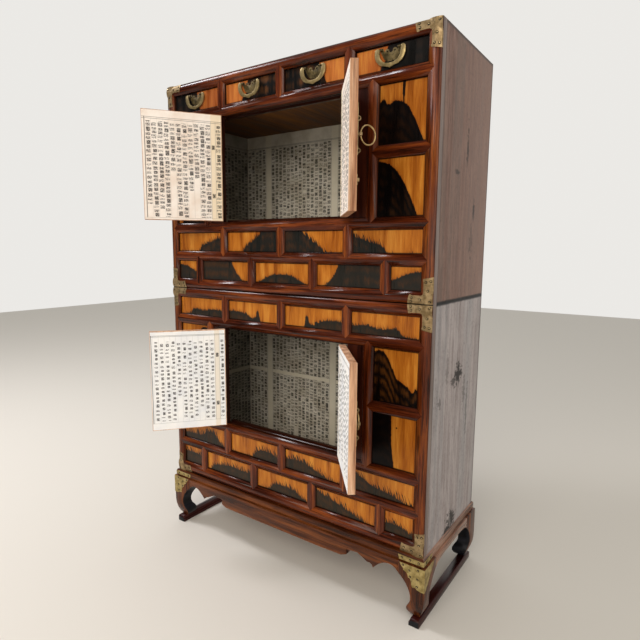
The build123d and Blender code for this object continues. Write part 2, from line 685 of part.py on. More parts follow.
def apron_face(half_length, lobed):
    """Face of an apron about its middle: along it in x, up in y."""
    top = UNDER_BAND
    end = half_length - LEG_BLOCK
    spring, corner = (end, top - ARCH_SPRING), (end, top)
    if lobed:
        cusp, notch, rise, lobe = [(half_length - inward, top - drop)
                                   for inward, drop in (CUSP, NOTCH, SECOND_RISE, LOBE_START)]
        arch = Spline(spring, (end - 30, top - ARCH_RISE), (cusp[0] + 11, cusp[1] + 12), cusp)
        notched = Spline(cusp, ((cusp[0] + notch[0]) / 2, notch[1] + 0.5), notch)
        swell = Spline(notch, rise, lobe, (0, top - LOBE_DROP), tangents=((-0.6, 1), (-1, 0)))
        right = [faceted(arch, 8), faceted(notched, 3), faceted(swell, 10)]
    else:
        arch = Spline(spring, (end - 28, top - ARCH_RISE - 3), (0, top - ARCH_RISE - 1),
                      tangents=((-1, 0.75), (-1, 0)))
        right = [faceted(arch, 8)]
    left = [mirror(line, Plane.YZ) for line in right]
    (x, low), (_, high) = spring, corner
    sides = [Line((-x, low), (-x, high)), Line((-x, high), (x, high)), Line((x, high), (x, low))]
    return make_face(right + left + sides)


def band_bar(outline):
    """One bar of the band, from its outline seen from above, with its outer edges bevelled."""
    bar = extrude(Pos(0, 0, UNDER_BAND) * make_face(Polyline(*outline, close=True)), amount=BAND_HEIGHT)
    (ax, ay), (bx, by) = outline[0], outline[1]
    outside = Vector((ax + bx) / 2, (ay + by) / 2, STAND_HEIGHT - BAND_HEIGHT / 2)
    long_edges = bar.edges().filter_by(Axis.X if ay == by else Axis.Y)
    return chamfer(long_edges.sort_by_distance(outside)[0:2], BAND_BEVEL, 0.6 * BAND_BEVEL)


def stand_band():
    """Mitred frame on top of the stand."""
    x, y = SIDE + BAND_PROUD, BACK + BAND_PROUD
    outer = [(-x, -y), (x, -y), (x, y), (-x, y)]
    x, y = x - BAND_WIDTH, y - BAND_WIDTH
    inner = [(-x, -y), (x, -y), (x, y), (-x, y)]
    turns = [(0, 1), (1, 2), (2, 3), (3, 0)]
    return [band_bar([outer[a], outer[b], inner[b], inner[a]]) for a, b in turns]


def stand_runner():
    """Right hand runner, with a step along its inner side and sloped ends."""
    outer = SIDE - RUNNER_INSET
    inner = outer - RUNNER_WIDTH
    step = inner + RUNNER_STEP
    reach = BACK + RUNNER_PAST
    section = [(outer, 0), (outer, RUNNER_HEIGHT - RUNNER_BEVEL), (outer - RUNNER_BEVEL, RUNNER_HEIGHT),
               (step, RUNNER_HEIGHT), (step, RUNNER_HEIGHT / 2), (inner, RUNNER_HEIGHT / 2), (inner, 0)]
    bar = front_prism(section, -reach, reach)
    return chamfer(bar.edges().filter_by(Axis.X).group_by(Axis.Z)[-1], 2 * RUNNER_BEVEL)


def stand_parts():
    """Aprons and legs of the stand."""
    face_y, face_x = BACK + KNEE_PROUD, SIDE + KNEE_PROUD
    front = front_solid(apron_face(SIDE, True), -face_y, -face_y + APRON_THICKNESS)
    back = mirror(front, Plane.XZ)
    side = side_prism(apron_face(BACK, False), face_x - APRON_THICKNESS, face_x)
    front_leg = front_right_leg()
    back_leg = mirror(front_leg, Plane.XZ)
    return front, back, side, front_leg, back_leg


def folded_plate(outline_front, outline_side, proud):
    """A flat plate bent round the right front corner; outlines run inwards from the corner."""
    over = proud + BRASS
    front = [(SIDE - s, z) for s, z in outline_front]
    side = [(FRONT + s, z) for s, z in outline_side]
    plate = front_prism(front, FRONT - over, FRONT - proud)
    return plate + side_prism(make_face(Polyline(*side, close=True)), SIDE + proud, SIDE + over)


def stand_brasses():
    """Strap on the band and scalloped plate on the knee, bent round each front corner."""
    low, high = UNDER_BAND + STRAP_INSET, STAND_HEIGHT - STRAP_INSET
    edge = -BAND_PROUD - BRASS
    strap = folded_plate([(edge, low), (BRASS_LONG - 3, low), (BRASS_LONG, high), (edge, high)],
                         [(edge, low), (BRASS_LONG - 22, low), (BRASS_LONG - 19, high), (edge, high)],
                         BAND_PROUD)
    edge = -KNEE_PROUD - BRASS
    knee = folded_plate([(edge, UNDER_BAND)] + [(s, UNDER_BAND - drop) for s, drop in KNEE_FRONT],
                        [(edge, UNDER_BAND)] + [(s, UNDER_BAND - drop) for s, drop in KNEE_SIDE],
                        KNEE_PROUD)
    pair = [strap, knee]
    return pair + [mirrored(piece) for piece in pair]


# ------------------------------------------------------------------ the chest
def build_lower():
    base, top = STAND_HEIGHT, SEAM
    sill = base + SILL_DROP
    rails = [sill, sill + ROW, sill + 2 * ROW, top - HALF - TOP_ROW, top - HALF]
    rows = [(rails[0], rails[1], COLUMNS_OF_FIVE), (rails[1], rails[2], COLUMNS_OF_FOUR),
            (rails[3], rails[4], COLUMNS_OF_FOUR)]
    stiles, level, uprights, panels, jambs, stops = front_frame(
        base, top, rails, rows, (rails[2], rails[3]))
    sides, top_board, bottom_board, back = case_boards(base, top, BOTTOM_THICKNESS)
    z0, z1 = rails[2] + HALF + DOOR_GAP, rails[3] - HALF - DOOR_GAP
    hinges = []
    for name, left, opened in (("left", True, LOWER_LEFT_OPEN), ("right", False, LOWER_RIGHT_OPEN)):
        groups, fixed = door_set(z0, z1, False, 90.0, opened, left)
        hinges += fixed
        for kind, group in zip(("frame", "panel", "brasses", "ring"), groups):
            save(f"lower_{name}_door_{kind}", group)
    save("lower_posts", stiles)
    save("lower_rails", level + stops)
    save("lower_uprights", uprights)
    save("lower_panels", panels + jambs)
    save("lower_side_boards", sides)
    save("lower_top_board", [top_board])
    save("lower_bottom_board", [bottom_board])
    save("lower_back_boards", back)
    save("lower_brasses", corner_brasses(base, top, rails[0], rails[-1]) + hinges)


def build_upper():
    base, top = SEAM, TOP
    sill = base + HALF
    rails = [sill, sill + ROW, sill + 2 * ROW, top - HALF - TOP_ROW, top - HALF]
    rows = [(rails[0], rails[1], COLUMNS_OF_FIVE), (rails[1], rails[2], COLUMNS_OF_FOUR)]
    drawer_row = [(rails[3], rails[4], COLUMNS_OF_FOUR)]
    stiles, level, uprights, panels, jambs, stops = front_frame(
        base, top, rails, rows, (rails[2], rails[3]), drawer_row)
    sides, top_board, bottom_board, back = case_boards(base, top, TOP_THICKNESS)
    z0, z1 = rails[2] + HALF + DOOR_GAP, rails[3] - HALF - DOOR_GAP
    hinges = []
    for name, left, opened, turn in (("left", True, UPPER_LEFT_OPEN, 90.0),
                                     ("right", False, UPPER_RIGHT_OPEN, RING_REST)):
        groups, fixed = door_set(z0, z1, True, turn, opened, left)
        hinges += fixed
        for kind, group in zip(("frame", "panel", "brasses", "ring"), groups):
            save(f"upper_{name}_door_{kind}", group)
    bay_low, bay_high = rails[3] + HALF, rails[4] - HALF
    dust_board = block((-INNER_SIDE, INNER_SIDE), (FRAME_BACK, BACK_FACE), (bay_low - DUST_BOARD, bay_low))
    guides = []
    for x in COLUMNS_OF_FOUR:
        guide = block((x - HALF, x + HALF), (FRAME_BACK, BACK_FACE), (bay_low, bay_low + GUIDE_HEIGHT))
        web = block((x - DIVIDER_WEB / 2, x + DIVIDER_WEB / 2), (FRAME_BACK, BACK_FACE),
                    (bay_low, top - TOP_THICKNESS))
        guides.append(guide + web)
    for side in (-1, 1):
        guides.append(block(sorted([side * POST_INNER, side * INNER_SIDE]), (FRAME_BACK, BACK_FACE),
                            (bay_low, bay_low + GUIDE_HEIGHT)))
    for number, (x0, x1) in enumerate(gaps_between(COLUMNS_OF_FOUR), start=1):
        front, box = drawer(x0, x1, bay_low, bay_high)
        plate, bail = drawer_pull((x0 + x1) / 2, (bay_low + bay_high) / 2)
        save(f"drawer_{number}_front", [front])
        save(f"drawer_{number}_box", box)
        save(f"drawer_{number}_pull_plate", [plate])
        save(f"drawer_{number}_bail", [bail])
    save("upper_posts", stiles)
    save("upper_rails", level + stops)
    save("upper_uprights", uprights)
    save("upper_panels", panels + jambs)
    save("upper_side_boards", sides)
    save("upper_top_board", [top_board])
    save("upper_bottom_board", [bottom_board])
    save("upper_back_boards", back)
    save("upper_dust_board", [dust_board])
    save("upper_drawer_guides", guides)
    save("upper_brasses", corner_brasses(base, top, rails[0], rails[-1]) + hinges)


def build_stand():
    front, back, side, front_leg, back_leg = stand_parts()
    runner = stand_runner()
    save("stand_band", stand_band())
    save("stand_front_apron", [front])
    save("stand_back_apron", [back])
    save("stand_side_aprons", [side, mirrored(side)])
    save("stand_front_legs", [front_leg, mirrored(front_leg)])
    save("stand_back_legs", [back_leg, mirrored(back_leg)])
    save("stand_runners", [runner, mirrored(runner)])
    save("stand_brasses", stand_brasses())


build_stand()
build_lower()
build_upper()
print("stand, lower chest and upper chest written; height", TOP)
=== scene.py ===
# %% [markdown]
# # A Korean chest in two tiers
#
# The chest is a stack: a low stand, a lower chest and an upper chest. Its rounded frame, panels,
# boards, doors and fittings come from the drawing office as solids that already stand in their
# places. This lesson gives them their woods and metals, and adds what is too thin or too small for
# the drawing: the paper that lines the inside, and the nails of the brasses.

# %% Load the chest
import json
import math
import random

import bpy
from mathutils import Matrix, Vector
from mathutils.bvhtree import BVHTree

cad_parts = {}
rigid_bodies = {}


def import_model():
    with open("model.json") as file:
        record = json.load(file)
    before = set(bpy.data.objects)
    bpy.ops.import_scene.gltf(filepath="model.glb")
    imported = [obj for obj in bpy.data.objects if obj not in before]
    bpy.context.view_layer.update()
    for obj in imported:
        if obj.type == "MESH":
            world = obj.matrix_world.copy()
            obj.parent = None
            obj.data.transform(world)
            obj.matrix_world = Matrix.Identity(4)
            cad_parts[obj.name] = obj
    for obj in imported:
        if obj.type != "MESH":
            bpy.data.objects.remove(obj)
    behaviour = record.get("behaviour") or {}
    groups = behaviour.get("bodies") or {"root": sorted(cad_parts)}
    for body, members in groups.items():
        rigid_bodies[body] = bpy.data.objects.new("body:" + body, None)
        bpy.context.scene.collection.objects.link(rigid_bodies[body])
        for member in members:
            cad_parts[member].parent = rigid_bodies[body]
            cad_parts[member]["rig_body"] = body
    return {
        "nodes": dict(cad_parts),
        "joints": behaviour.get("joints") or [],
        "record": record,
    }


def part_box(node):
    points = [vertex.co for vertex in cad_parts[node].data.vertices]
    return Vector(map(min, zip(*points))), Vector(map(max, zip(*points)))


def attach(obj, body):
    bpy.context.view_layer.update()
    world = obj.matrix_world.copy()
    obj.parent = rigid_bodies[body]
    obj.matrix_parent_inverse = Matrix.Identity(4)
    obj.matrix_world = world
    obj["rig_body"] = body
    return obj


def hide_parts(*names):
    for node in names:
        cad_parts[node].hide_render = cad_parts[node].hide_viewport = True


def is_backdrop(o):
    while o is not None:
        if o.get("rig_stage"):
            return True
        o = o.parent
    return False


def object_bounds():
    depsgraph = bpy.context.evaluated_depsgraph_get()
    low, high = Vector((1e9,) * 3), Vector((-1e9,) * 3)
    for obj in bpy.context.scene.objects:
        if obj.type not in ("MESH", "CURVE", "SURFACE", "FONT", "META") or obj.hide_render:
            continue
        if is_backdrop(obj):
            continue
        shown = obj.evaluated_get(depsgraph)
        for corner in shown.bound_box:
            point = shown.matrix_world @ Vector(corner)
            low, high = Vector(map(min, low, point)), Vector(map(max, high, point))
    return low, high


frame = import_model()
drawing_low, drawing_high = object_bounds()
nodes = frame["nodes"]
bpy.ops.object.select_all(action="DESELECT")
MM = 0.001
print("pieces from the drawing:", len(nodes), "size", [round(c, 3) for c in drawing_high - drawing_low])

# %% [markdown]
# ## Camera
#
# The eye stands to the right of the chest, a little over half its height, and looks slightly down.
# The lens is short, so the near corner is large and the far side falls away quickly.

# %% Camera
EYE = Vector((903, -1277.5, 938)) * MM
TURN_LEFT, TILT_DOWN, ROLL = 34.849, 7.957, 0.384
LENS = 28.76

camera = bpy.data.objects.new("camera", bpy.data.cameras.new("camera"))
bpy.context.scene.collection.objects.link(camera)
camera.data.lens = LENS
camera.data.sensor_width = 36
heading = Matrix.Rotation(math.radians(TURN_LEFT), 4, "Z")
tilt = Matrix.Rotation(math.radians(90 - TILT_DOWN), 4, "X")
roll = Matrix.Rotation(math.radians(ROLL), 4, "Z")
camera.matrix_world = Matrix.Translation(EYE) @ heading @ tilt @ roll
bpy.context.scene.camera = camera
bpy.context.scene.view_settings.view_transform = "Standard"
print("camera at", [round(c, 3) for c in camera.location])

# %% [markdown]
# ## Floor and light
#
# A plain pale floor and a wide sky give an even light. A large soft lamp stands in front, a little
# to the right, as a window would. A narrow one and a small high one draw the long highlights on the
# rounded wood. Polished dark wood looks grey under an all white sky, so reflections see a darker
# side of the room in front, as in a real room, and white on the other sides.

# %% Floor
FLOOR_SIZE = 14.0

bpy.ops.mesh.primitive_plane_add(size=FLOOR_SIZE, location=(0, 0, 0))
floor = bpy.context.object
floor.name = "floor"
floor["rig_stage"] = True


def linear(code):
    """A colour as a web code, such as 8a4a2c, in the linear values that shaders use."""
    shares = [int(code[i:i + 2], 16) / 255 for i in (0, 2, 4)]
    return [s / 12.92 if s <= 0.04045 else ((s + 0.055) / 1.055) ** 2.4 for s in shares] + [1.0]


def add(tree, kind, inputs=(), stops=(), out=None, **settings):
    """Adds a shader node with its settings and links, and returns its first live output.

    inputs are values, web colours or outputs of other nodes: a tuple fills the live inputs in
    their order, and a dict goes by their names. stops are the places and web colours of a colour
    ramp, and out is the name of another output to return.
    """
    made = tree.nodes.new("ShaderNode" + kind)
    for name, value in settings.items():
        setattr(made, name, value)
    if isinstance(inputs, dict):
        pairs = [(made.inputs[name], value) for name, value in inputs.items()]
    else:
        pairs = zip([socket for socket in made.inputs if socket.enabled], inputs)
    for socket, value in pairs:
        if isinstance(value, bpy.types.NodeSocket):
            tree.links.new(value, socket)
        else:
            socket.default_value = linear(value) if isinstance(value, str) else value
    if stops:
        points = made.color_ramp.elements
        while len(points) < len(stops):
            points.new(0.5)
        for point, (place, code) in zip(points, stops):
            point.position = place
            point.color = linear(code)
    return made.outputs[out] if out else next((o for o in made.outputs if o.enabled), None)


def new_material(name):
    """A material and its empty node tree."""
    material = bpy.data.materials.new(name)
    material.use_nodes = True
    material.node_tree.nodes.clear()
    return material, material.node_tree


# matt paint, rolled on: it keeps soft shadows and shows no highlight
floor_paint, tree = new_material("pale_floor")
matt = add(tree, "BsdfPrincipled", {"Base Color": "dcd7ce", "Roughness": 0.7})
add(tree, "OutputMaterial", {"Surface": matt})
floor.data.materials.append(floor_paint)
print("floor:", FLOOR_SIZE, "m square")

# %% Light
SKY_LIGHT, BACKGROUND, DARK_SIDE = 0.62, 0.92, 0.08
ROOM_WHITE = "f4f2ee"
DARK_WAY = Vector((-0.56, -0.83, 0.0))
DARK_FROM, DARK_FULL = -0.1, 0.6           # cosines to DARK_WAY where the dark side starts and is full
LAMPS = {
    # name: (place, aim, width, height, watts, colour)
    "window": ((1.15, -3.4, 2.5), (0, 0, 0.75), 2.6, 2.2, 78, "fff6ea"),
    "strip": ((-0.2, -3.6, 1.2), (0, 0, 0.75), 0.4, 2.0, 8, "fffaf2"),
    "high": ((-1.97, -0.9, 3.0), (-1.97, -0.9, 0), 1.1, 0.6, 56, "fbfaff"),
}

world = bpy.data.worlds.new("studio")
bpy.context.scene.world = world
world.use_nodes = True
tree = world.node_tree
tree.nodes.clear()
seen = add(tree, "LightPath").node.outputs
way = add(tree, "TexCoord", out="Generated")
towards = add(tree, "VectorMath", (way, DARK_WAY), operation="DOT_PRODUCT")
room = add(tree, "MapRange", (towards, DARK_FROM, DARK_FULL, BACKGROUND, DARK_SIDE))
plain = add(tree, "Math", (seen["Is Camera Ray"], BACKGROUND), operation="MULTIPLY")
strength = add(tree, "Math", (room, plain), operation="MAXIMUM")
either = add(tree, "Math", (seen["Is Camera Ray"], seen["Is Glossy Ray"]), operation="MAXIMUM")
either = add(tree, "Math", (either, seen["Is Transmission Ray"]), operation="MAXIMUM")
sky = add(tree, "Background", (ROOM_WHITE, SKY_LIGHT))
walls = add(tree, "Background", (ROOM_WHITE, strength))
both = add(tree, "MixShader", (either, sky, walls))
add(tree, "OutputWorld", {"Surface": both})

for name, (place, aim, width, height, power, colour) in LAMPS.items():
    lamp = bpy.data.objects.new(name, bpy.data.lights.new(name, "AREA"))
    bpy.context.scene.collection.objects.link(lamp)
    lamp.data.shape = "RECTANGLE"
    lamp.data.size, lamp.data.size_y = width, height
    lamp.data.energy = power
    lamp.data.color = linear(colour)[:3]
    lamp.location = place
    lamp.rotation_euler = (Vector(aim) - lamp.location).to_track_quat("-Z", "Y").to_euler()
print("lamps:", list(LAMPS))

# %% [markdown]
# ## Wood
#
# All the wood is oiled and rubbed. Under the oil lie three things: long fibres, broad bands from
# year to year, and short dark pores. A noise that is pulled out along the grain gives each of them,
# so one builder makes every plain wood. Real fibres and pores are a few tenths of a millimetre
# wide, too fine to show, so they are drawn three to five times as wide. A door that stands open is
# turned back first, so that its grain keeps to the door.

# %% Directions and the space of an open door
ALONG = {"x": 0, "y": 1, "z": 2}
hinges = {j["child"]: j for j in frame["joints"] if j["name"].endswith("_door_hinge")}


def opened(body):
    """Signed angle, in radians, that a door stands open at rest, about +Z."""
    return math.radians(hinges[body]["range_deg"][0]) * -hinges[body]["axis"][2]


def closed_space(tree, body=None):
    """Object coordinates, turned back to the closed door for a piece of a door."""
    place = add(tree, "TexCoord", out="Object")
    if body is None:
        return place
    pivot = Vector(hinges[body]["pos_m"])
    back = Matrix.Rotation(-opened(body), 3, "Z")
    return add(tree, "Mapping", {"Vector": place, "Location": pivot - back @ pivot,
                                 "Rotation": (0, 0, -opened(body))})


print("doors stand open by", {b: round(math.degrees(opened(b)), 1) for b in hinges})

# %% Grain, stains and oil
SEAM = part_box("upper_side_boards")[0].z / MM           # where the upper chest stands on the lower


def grain(tree, place, along, across_mm, along_mm, detail, roughness):
    """A noise with spots across_mm wide, pulled out to along_mm along x, y or z."""
    scale = [1 / (across_mm * MM)] * 3
    scale[ALONG[along]] = 1 / (along_mm * MM)
    place = add(tree, "Mapping", {"Vector": place, "Scale": scale})
    return add(tree, "TexNoise", (place, 1.0, detail, roughness))


def together(tree, share, first, second):
    """A share of the first value and the rest of the second."""
    rest = add(tree, "Math", (second, 1 - share), operation="MULTIPLY")
    return add(tree, "Math", (first, share, rest), operation="MULTIPLY_ADD")


def apart(tree, value, middle):
    """How far a value is from middle, on either side."""
    gap = add(tree, "Math", (value, middle), operation="SUBTRACT")
    return add(tree, "Math", (gap,), operation="ABSOLUTE")


def near(tree, value, middle, half):
    """1 at middle, down to 0 at half a width from it, in millimetres."""
    return add(tree, "MapRange", (apart(tree, value, middle * MM), 0.0, half * MM, 1.0, 0.0))


def stained(tree, colour, value, low, high, share, stain):
    """colour, which takes on a share of the stain as value goes from low to high."""
    amount = add(tree, "MapRange", (value, low, high, 0.0, share))
    return add(tree, "Mix", (amount, colour, stain), data_type="RGBA")


def joint_dirt(tree, place, colour):
    """The black line where the upper chest stands on the lower one."""
    height = add(tree, "SeparateXYZ", (place,), out="Z")
    return stained(tree, colour, near(tree, height, SEAM, 3.0), 0.3, 0.7, 0.92, "070403")


def finished(tree, colour, roughness, height, bump, film=0.28):
    """The surface of wood or paper: colour, roughness and fine relief under a film of oil or paste.

    The film has sunk in with age, so it reflects less than a full coat: 0.5 is a full one.
    """
    relief = add(tree, "Bump", {"Height": height, "Strength": 1.0, "Distance": bump * MM})
    skin = add(tree, "BsdfPrincipled", {"Base Color": colour, "Roughness": roughness, "IOR": 1.45,
                                        "Specular IOR Level": film, "Normal": relief})
    add(tree, "OutputMaterial", {"Surface": skin})


# %% Wood builder
def plain_wood(name, colours, along, body=None, fibre_mm=1.1, band_mm=16, length_mm=260,
               rough=(0.3, 0.48), bump=0.12, pores=0.45, veins=0.0, deep_shade=None, seams=()):
    """A plain wood. colours are dark, middle and light; veins is the share of long dark streaks,
    deep_shade gives the depths over which what lies deep is darkened as painted shade, and seams are
    the x of joints between boards."""
    material, tree = new_material(name)
    dark, middle, light = colours
    place = closed_space(tree, body)
    fibres = grain(tree, place, along, fibre_mm, 40 * fibre_mm, 5.0, 0.65)
    bands = grain(tree, place, along, band_mm, length_mm, 3.0, 0.5)
    colour = add(tree, "ValToRGB", (together(tree, 0.62, bands, fibres),),
                 stops=((0.36, dark), (0.5, middle), (0.64, light)))
    specks = grain(tree, place, along, 0.7, 14, 2.0, 0.5)
    colour = stained(tree, colour, specks, 0.62, 0.7, pores, dark)
    vein = grain(tree, place, along, 4.5, 130, 4.0, 0.65)
    colour = stained(tree, colour, vein, 0.53, 0.62, veins, "0e0503")
    x, depth, _ = add(tree, "SeparateXYZ", (place,)).node.outputs
    for seam in seams:
        colour = stained(tree, colour, apart(tree, x, seam * MM), 2.2 * MM, 1.0 * MM, 0.9, "0a0604")
    # painted shade: the deeper a face lies beside the panels, the darker it is painted
    if deep_shade is not None:
        crest, deep = deep_shade
        colour = stained(tree, colour, depth, crest * MM, deep * MM, 0.82, "1c0b06")
        colour = joint_dirt(tree, place, colour)
    finished(tree, colour, add(tree, "MapRange", (bands, 0.3, 0.7, *rough)), fibres, bump)
    return material


def dress(node, rule):
    """Gives a piece of the drawing its material, or one for each place where rule picks them."""
    mesh = nodes[node].data
    mesh.materials.clear()
    if isinstance(rule, bpy.types.Material):
        mesh.materials.append(rule)
        return
    names = []
    for polygon in mesh.polygons:
        material = rule(polygon)
        if material.name not in names:
            names.append(material.name)
            mesh.materials.append(material)
        polygon.material_index = names.index(material.name)


# %% [markdown]
# ## Smooth skins
#
# The drawing gives curved pieces as a few flat facets. A copy of such a piece takes its place: its
# points are merged, flat neighbours are joined, sharp edges get a small round, and normals are
# smoothed up to an angle, so that facets melt together and real corners stay. The copy rides on the
# same body and stands for the piece of the drawing.

# %% Smooth copy of a piece
MERGE = 0.02 * MM                          # points closer than this are one
FLAT_ANGLE, SHARP_ANGLE = math.radians(1), math.radians(50)
slot_of = {part["node"]: part["material_slot"] for part in frame["record"]["subparts"]}


def smooth_copy(node, angle, edge_mm=0.0):
    """A copy of a piece of the drawing, edges rounded by edge_mm, smooth up to an angle."""
    source = nodes[node]
    piece = bpy.data.objects.new(node + "_skin", source.data.copy())
    bpy.context.scene.collection.objects.link(piece)
    bpy.ops.object.select_all(action="DESELECT")
    piece.select_set(True)
    bpy.context.view_layer.objects.active = piece
    bpy.ops.object.mode_set(mode="EDIT")
    bpy.ops.mesh.select_all(action="SELECT")
    bpy.ops.mesh.remove_doubles(threshold=MERGE)
    bpy.ops.mesh.dissolve_limited(angle_limit=FLAT_ANGLE, delimit={"MATERIAL"})
    bpy.ops.object.mode_set(mode="OBJECT")
    if edge_mm:
        bevel = piece.modifiers.new("edges", "BEVEL")
        bevel.width, bevel.segments = edge_mm * MM, 2
        bevel.limit_method, bevel.angle_limit = "ANGLE", SHARP_ANGLE
        bpy.ops.object.modifier_apply(modifier="edges")
    bpy.ops.object.shade_smooth_by_angle(angle=math.radians(angle))
    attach(piece, source["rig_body"])
    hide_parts(node)


print("slots of the pieces:", len(slot_of))

# %% [markdown]
# ## The frame of the front
#
# The members are a hard red brown wood, polished by hand until the crests shine. Their fibres run
# along each member, so rails, posts and short uprights get their own direction. Where the members
# drop away beside the panels, the deeper the wood lies the darker it is painted, as shade, down to
# nearly black.

# %% Frame wood
RAIL_COLOURS = ("220a04", "501f0b", "864116")
POST_COLOURS = ("260c03", "632a0a", "9a551c")
UPRIGHT_COLOURS = ("220a04", "5a240c", "904b1b")
WEATHERED = ("5f504a", "83736c", "9c8c85")
SHADE_FROM_DEPTH, SHADE_FULL_DEPTH = -177.0, -172.2      # depth where the painted shade starts and where it is full
POST_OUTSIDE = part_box("upper_posts")[1].x - 2 * MM
GLOSS = dict(rough=(0.2, 0.34), bump=0.05, veins=0.75, deep_shade=(SHADE_FROM_DEPTH, SHADE_FULL_DEPTH))
FRAME_WOODS = {
    "rails": plain_wood("oiled_frame_wood_rails", RAIL_COLOURS, "x",
                        **GLOSS | {"rough": (0.15, 0.26), "bump": 0.02}),
    "posts": plain_wood("oiled_frame_wood_posts", POST_COLOURS, "z",
                        **GLOSS | {"rough": (0.34, 0.46)}),
    "uprights": plain_wood("oiled_frame_wood_uprights", UPRIGHT_COLOURS, "z", **GLOSS),
}
post_side = plain_wood("weathered_post_side", WEATHERED, "z", rough=(0.4, 0.55))


def post_face(polygon):
    """Weathered like the side boards on the outer side of a corner post, polished in front."""
    outwards = polygon.normal.x * math.copysign(1, polygon.center.x) > 0.95
    return post_side if outwards and abs(polygon.center.x) > POST_OUTSIDE else FRAME_WOODS["posts"]


for tier in ("lower", "upper"):
    for kind, wood in FRAME_WOODS.items():
        dress(f"{tier}_{kind}", post_face if kind == "posts" else wood)
        smooth_copy(f"{tier}_{kind}", 40)
print("frame dressed:", list(FRAME_WOODS))

# %% [markdown]
# ## The stand
#
# The stand is the same wood, a little browner. Its side pieces are painted paler and pinker, a
# painted sheen of the light that grazes them. The inner faces of the legs and the undersides of the
# runners are painted almost black as shade, and the ends of the runners are almost black as well.

# %% Stand wood
STAND_COLOURS = ("1f0b04", "52270e", "80461c")
STAND_GLOSS = dict(rough=(0.24, 0.4), bump=0.1, veins=0.6)
SIDE_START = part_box("stand_side_aprons")[1].x - 30 * MM
stand_front = plain_wood("oiled_stand_wood_front", STAND_COLOURS, "x", **STAND_GLOSS)
# painted sheen: the side pieces are painted paler and pinker for the light that grazes them
stand_side = plain_wood("stand_wood_side_painted_sheen", ("5a3c2f", "9c7560", "bc9682"), "y", **STAND_GLOSS)
stand_upright = plain_wood("oiled_stand_wood_legs", STAND_COLOURS, "z", **STAND_GLOSS)
runner_wood = plain_wood("red_runner_wood", ("160403", "300a06", "4a170d"), "y",
                         rough=(0.25, 0.4), bump=0.1)
# nearly black: painted shade on the inner faces of the legs and under the runners, and the runners' own
# black ends
black_and_shade_wood = plain_wood("black_stand_wood_and_painted_shade", ("08080a", "131418", "22222a"), "y",
                        rough=(0.3, 0.45), bump=0.12)


def band_bar(polygon):
    """Bars of the band: the side ones run front to back, in the paler side wood with its painted sheen.
    """
    return stand_side if abs(polygon.center.x) > SIDE_START else stand_front


def leg_face(polygon):
    """Painted shade: black on the faces of a leg that look to the middle of the stand."""
    sideways = polygon.normal.x * math.copysign(1, polygon.center.x) < -0.3
    endways = polygon.normal.y * math.copysign(1, polygon.center.y) < -0.3
    return black_and_shade_wood if sideways or endways else stand_upright


def runner_face(polygon):
    """Red brown on top and on the sides; black below, as painted shade, and at the ends."""
    return runner_wood if polygon.normal.z > 0.5 or abs(polygon.normal.x) > 0.9 else black_and_shade_wood


STAND = {
    # piece: (wood, angle of smoothing, round of the edges in mm)
    "stand_band": (band_bar, 50, 0.0),
    "stand_front_apron": (stand_front, 40, 1.2),
    "stand_back_apron": (stand_front, 40, 1.2),
    "stand_side_aprons": (stand_side, 40, 1.2),
    "stand_front_legs": (leg_face, 40, 1.0),
    "stand_back_legs": (leg_face, 40, 1.0),
    "stand_runners": (runner_face, 40, 0.8),
}
for node, (wood, angle, edge_mm) in STAND.items():
    dress(node, wood)
    smooth_copy(node, angle, edge_mm)
print("stand dressed:", list(STAND))

# %% [markdown]
# ## Boards of the case
#
# The sides are old softwood planks that have gone grey brown, with long streaks, stains and knots.
# The upper ones are browner, and paler towards the back. A knot is a soft spot whose
# rim a ragged noise tears, and the dirt in the joints is torn the same way.

# %% Side boards
SIDE_LOW, SIDE_HIGH = (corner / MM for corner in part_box("upper_side_boards"))
SIDES = {
    # tier: (dark, middle and light colour, cool tint, how much paler it grows towards the back)
    "upper": (("54392f", "765649", "997b6d"), "776a60", 0.7),
    "lower": (("807471", "a69b99", "c3bab8"), "9a9c9e", 0.1),
}
KNOTS = {
    # depth and height of the middle, half width, half height, strength of each knot or bruise
    "upper": [(-55, 1122, 12, 6, 0.7), (74, 1033, 7, 30, 0.8), (62, 960, 12, 36, 0.45),
              (11, 1185, 6, 44, 0.7)],
    "lower": [(14, 614, 24, 26, 0.95), (-20, 597, 16, 14, 0.7), (4, 208, 28, 24, 0.95),
              (-24, 188, 20, 12, 0.85), (-70, 640, 9, 50, 0.4), (90, 500, 8, 70, 0.4),
              (60, 560, 8, 40, 0.45), (-110, 560, 10, 14, 0.5)],
}


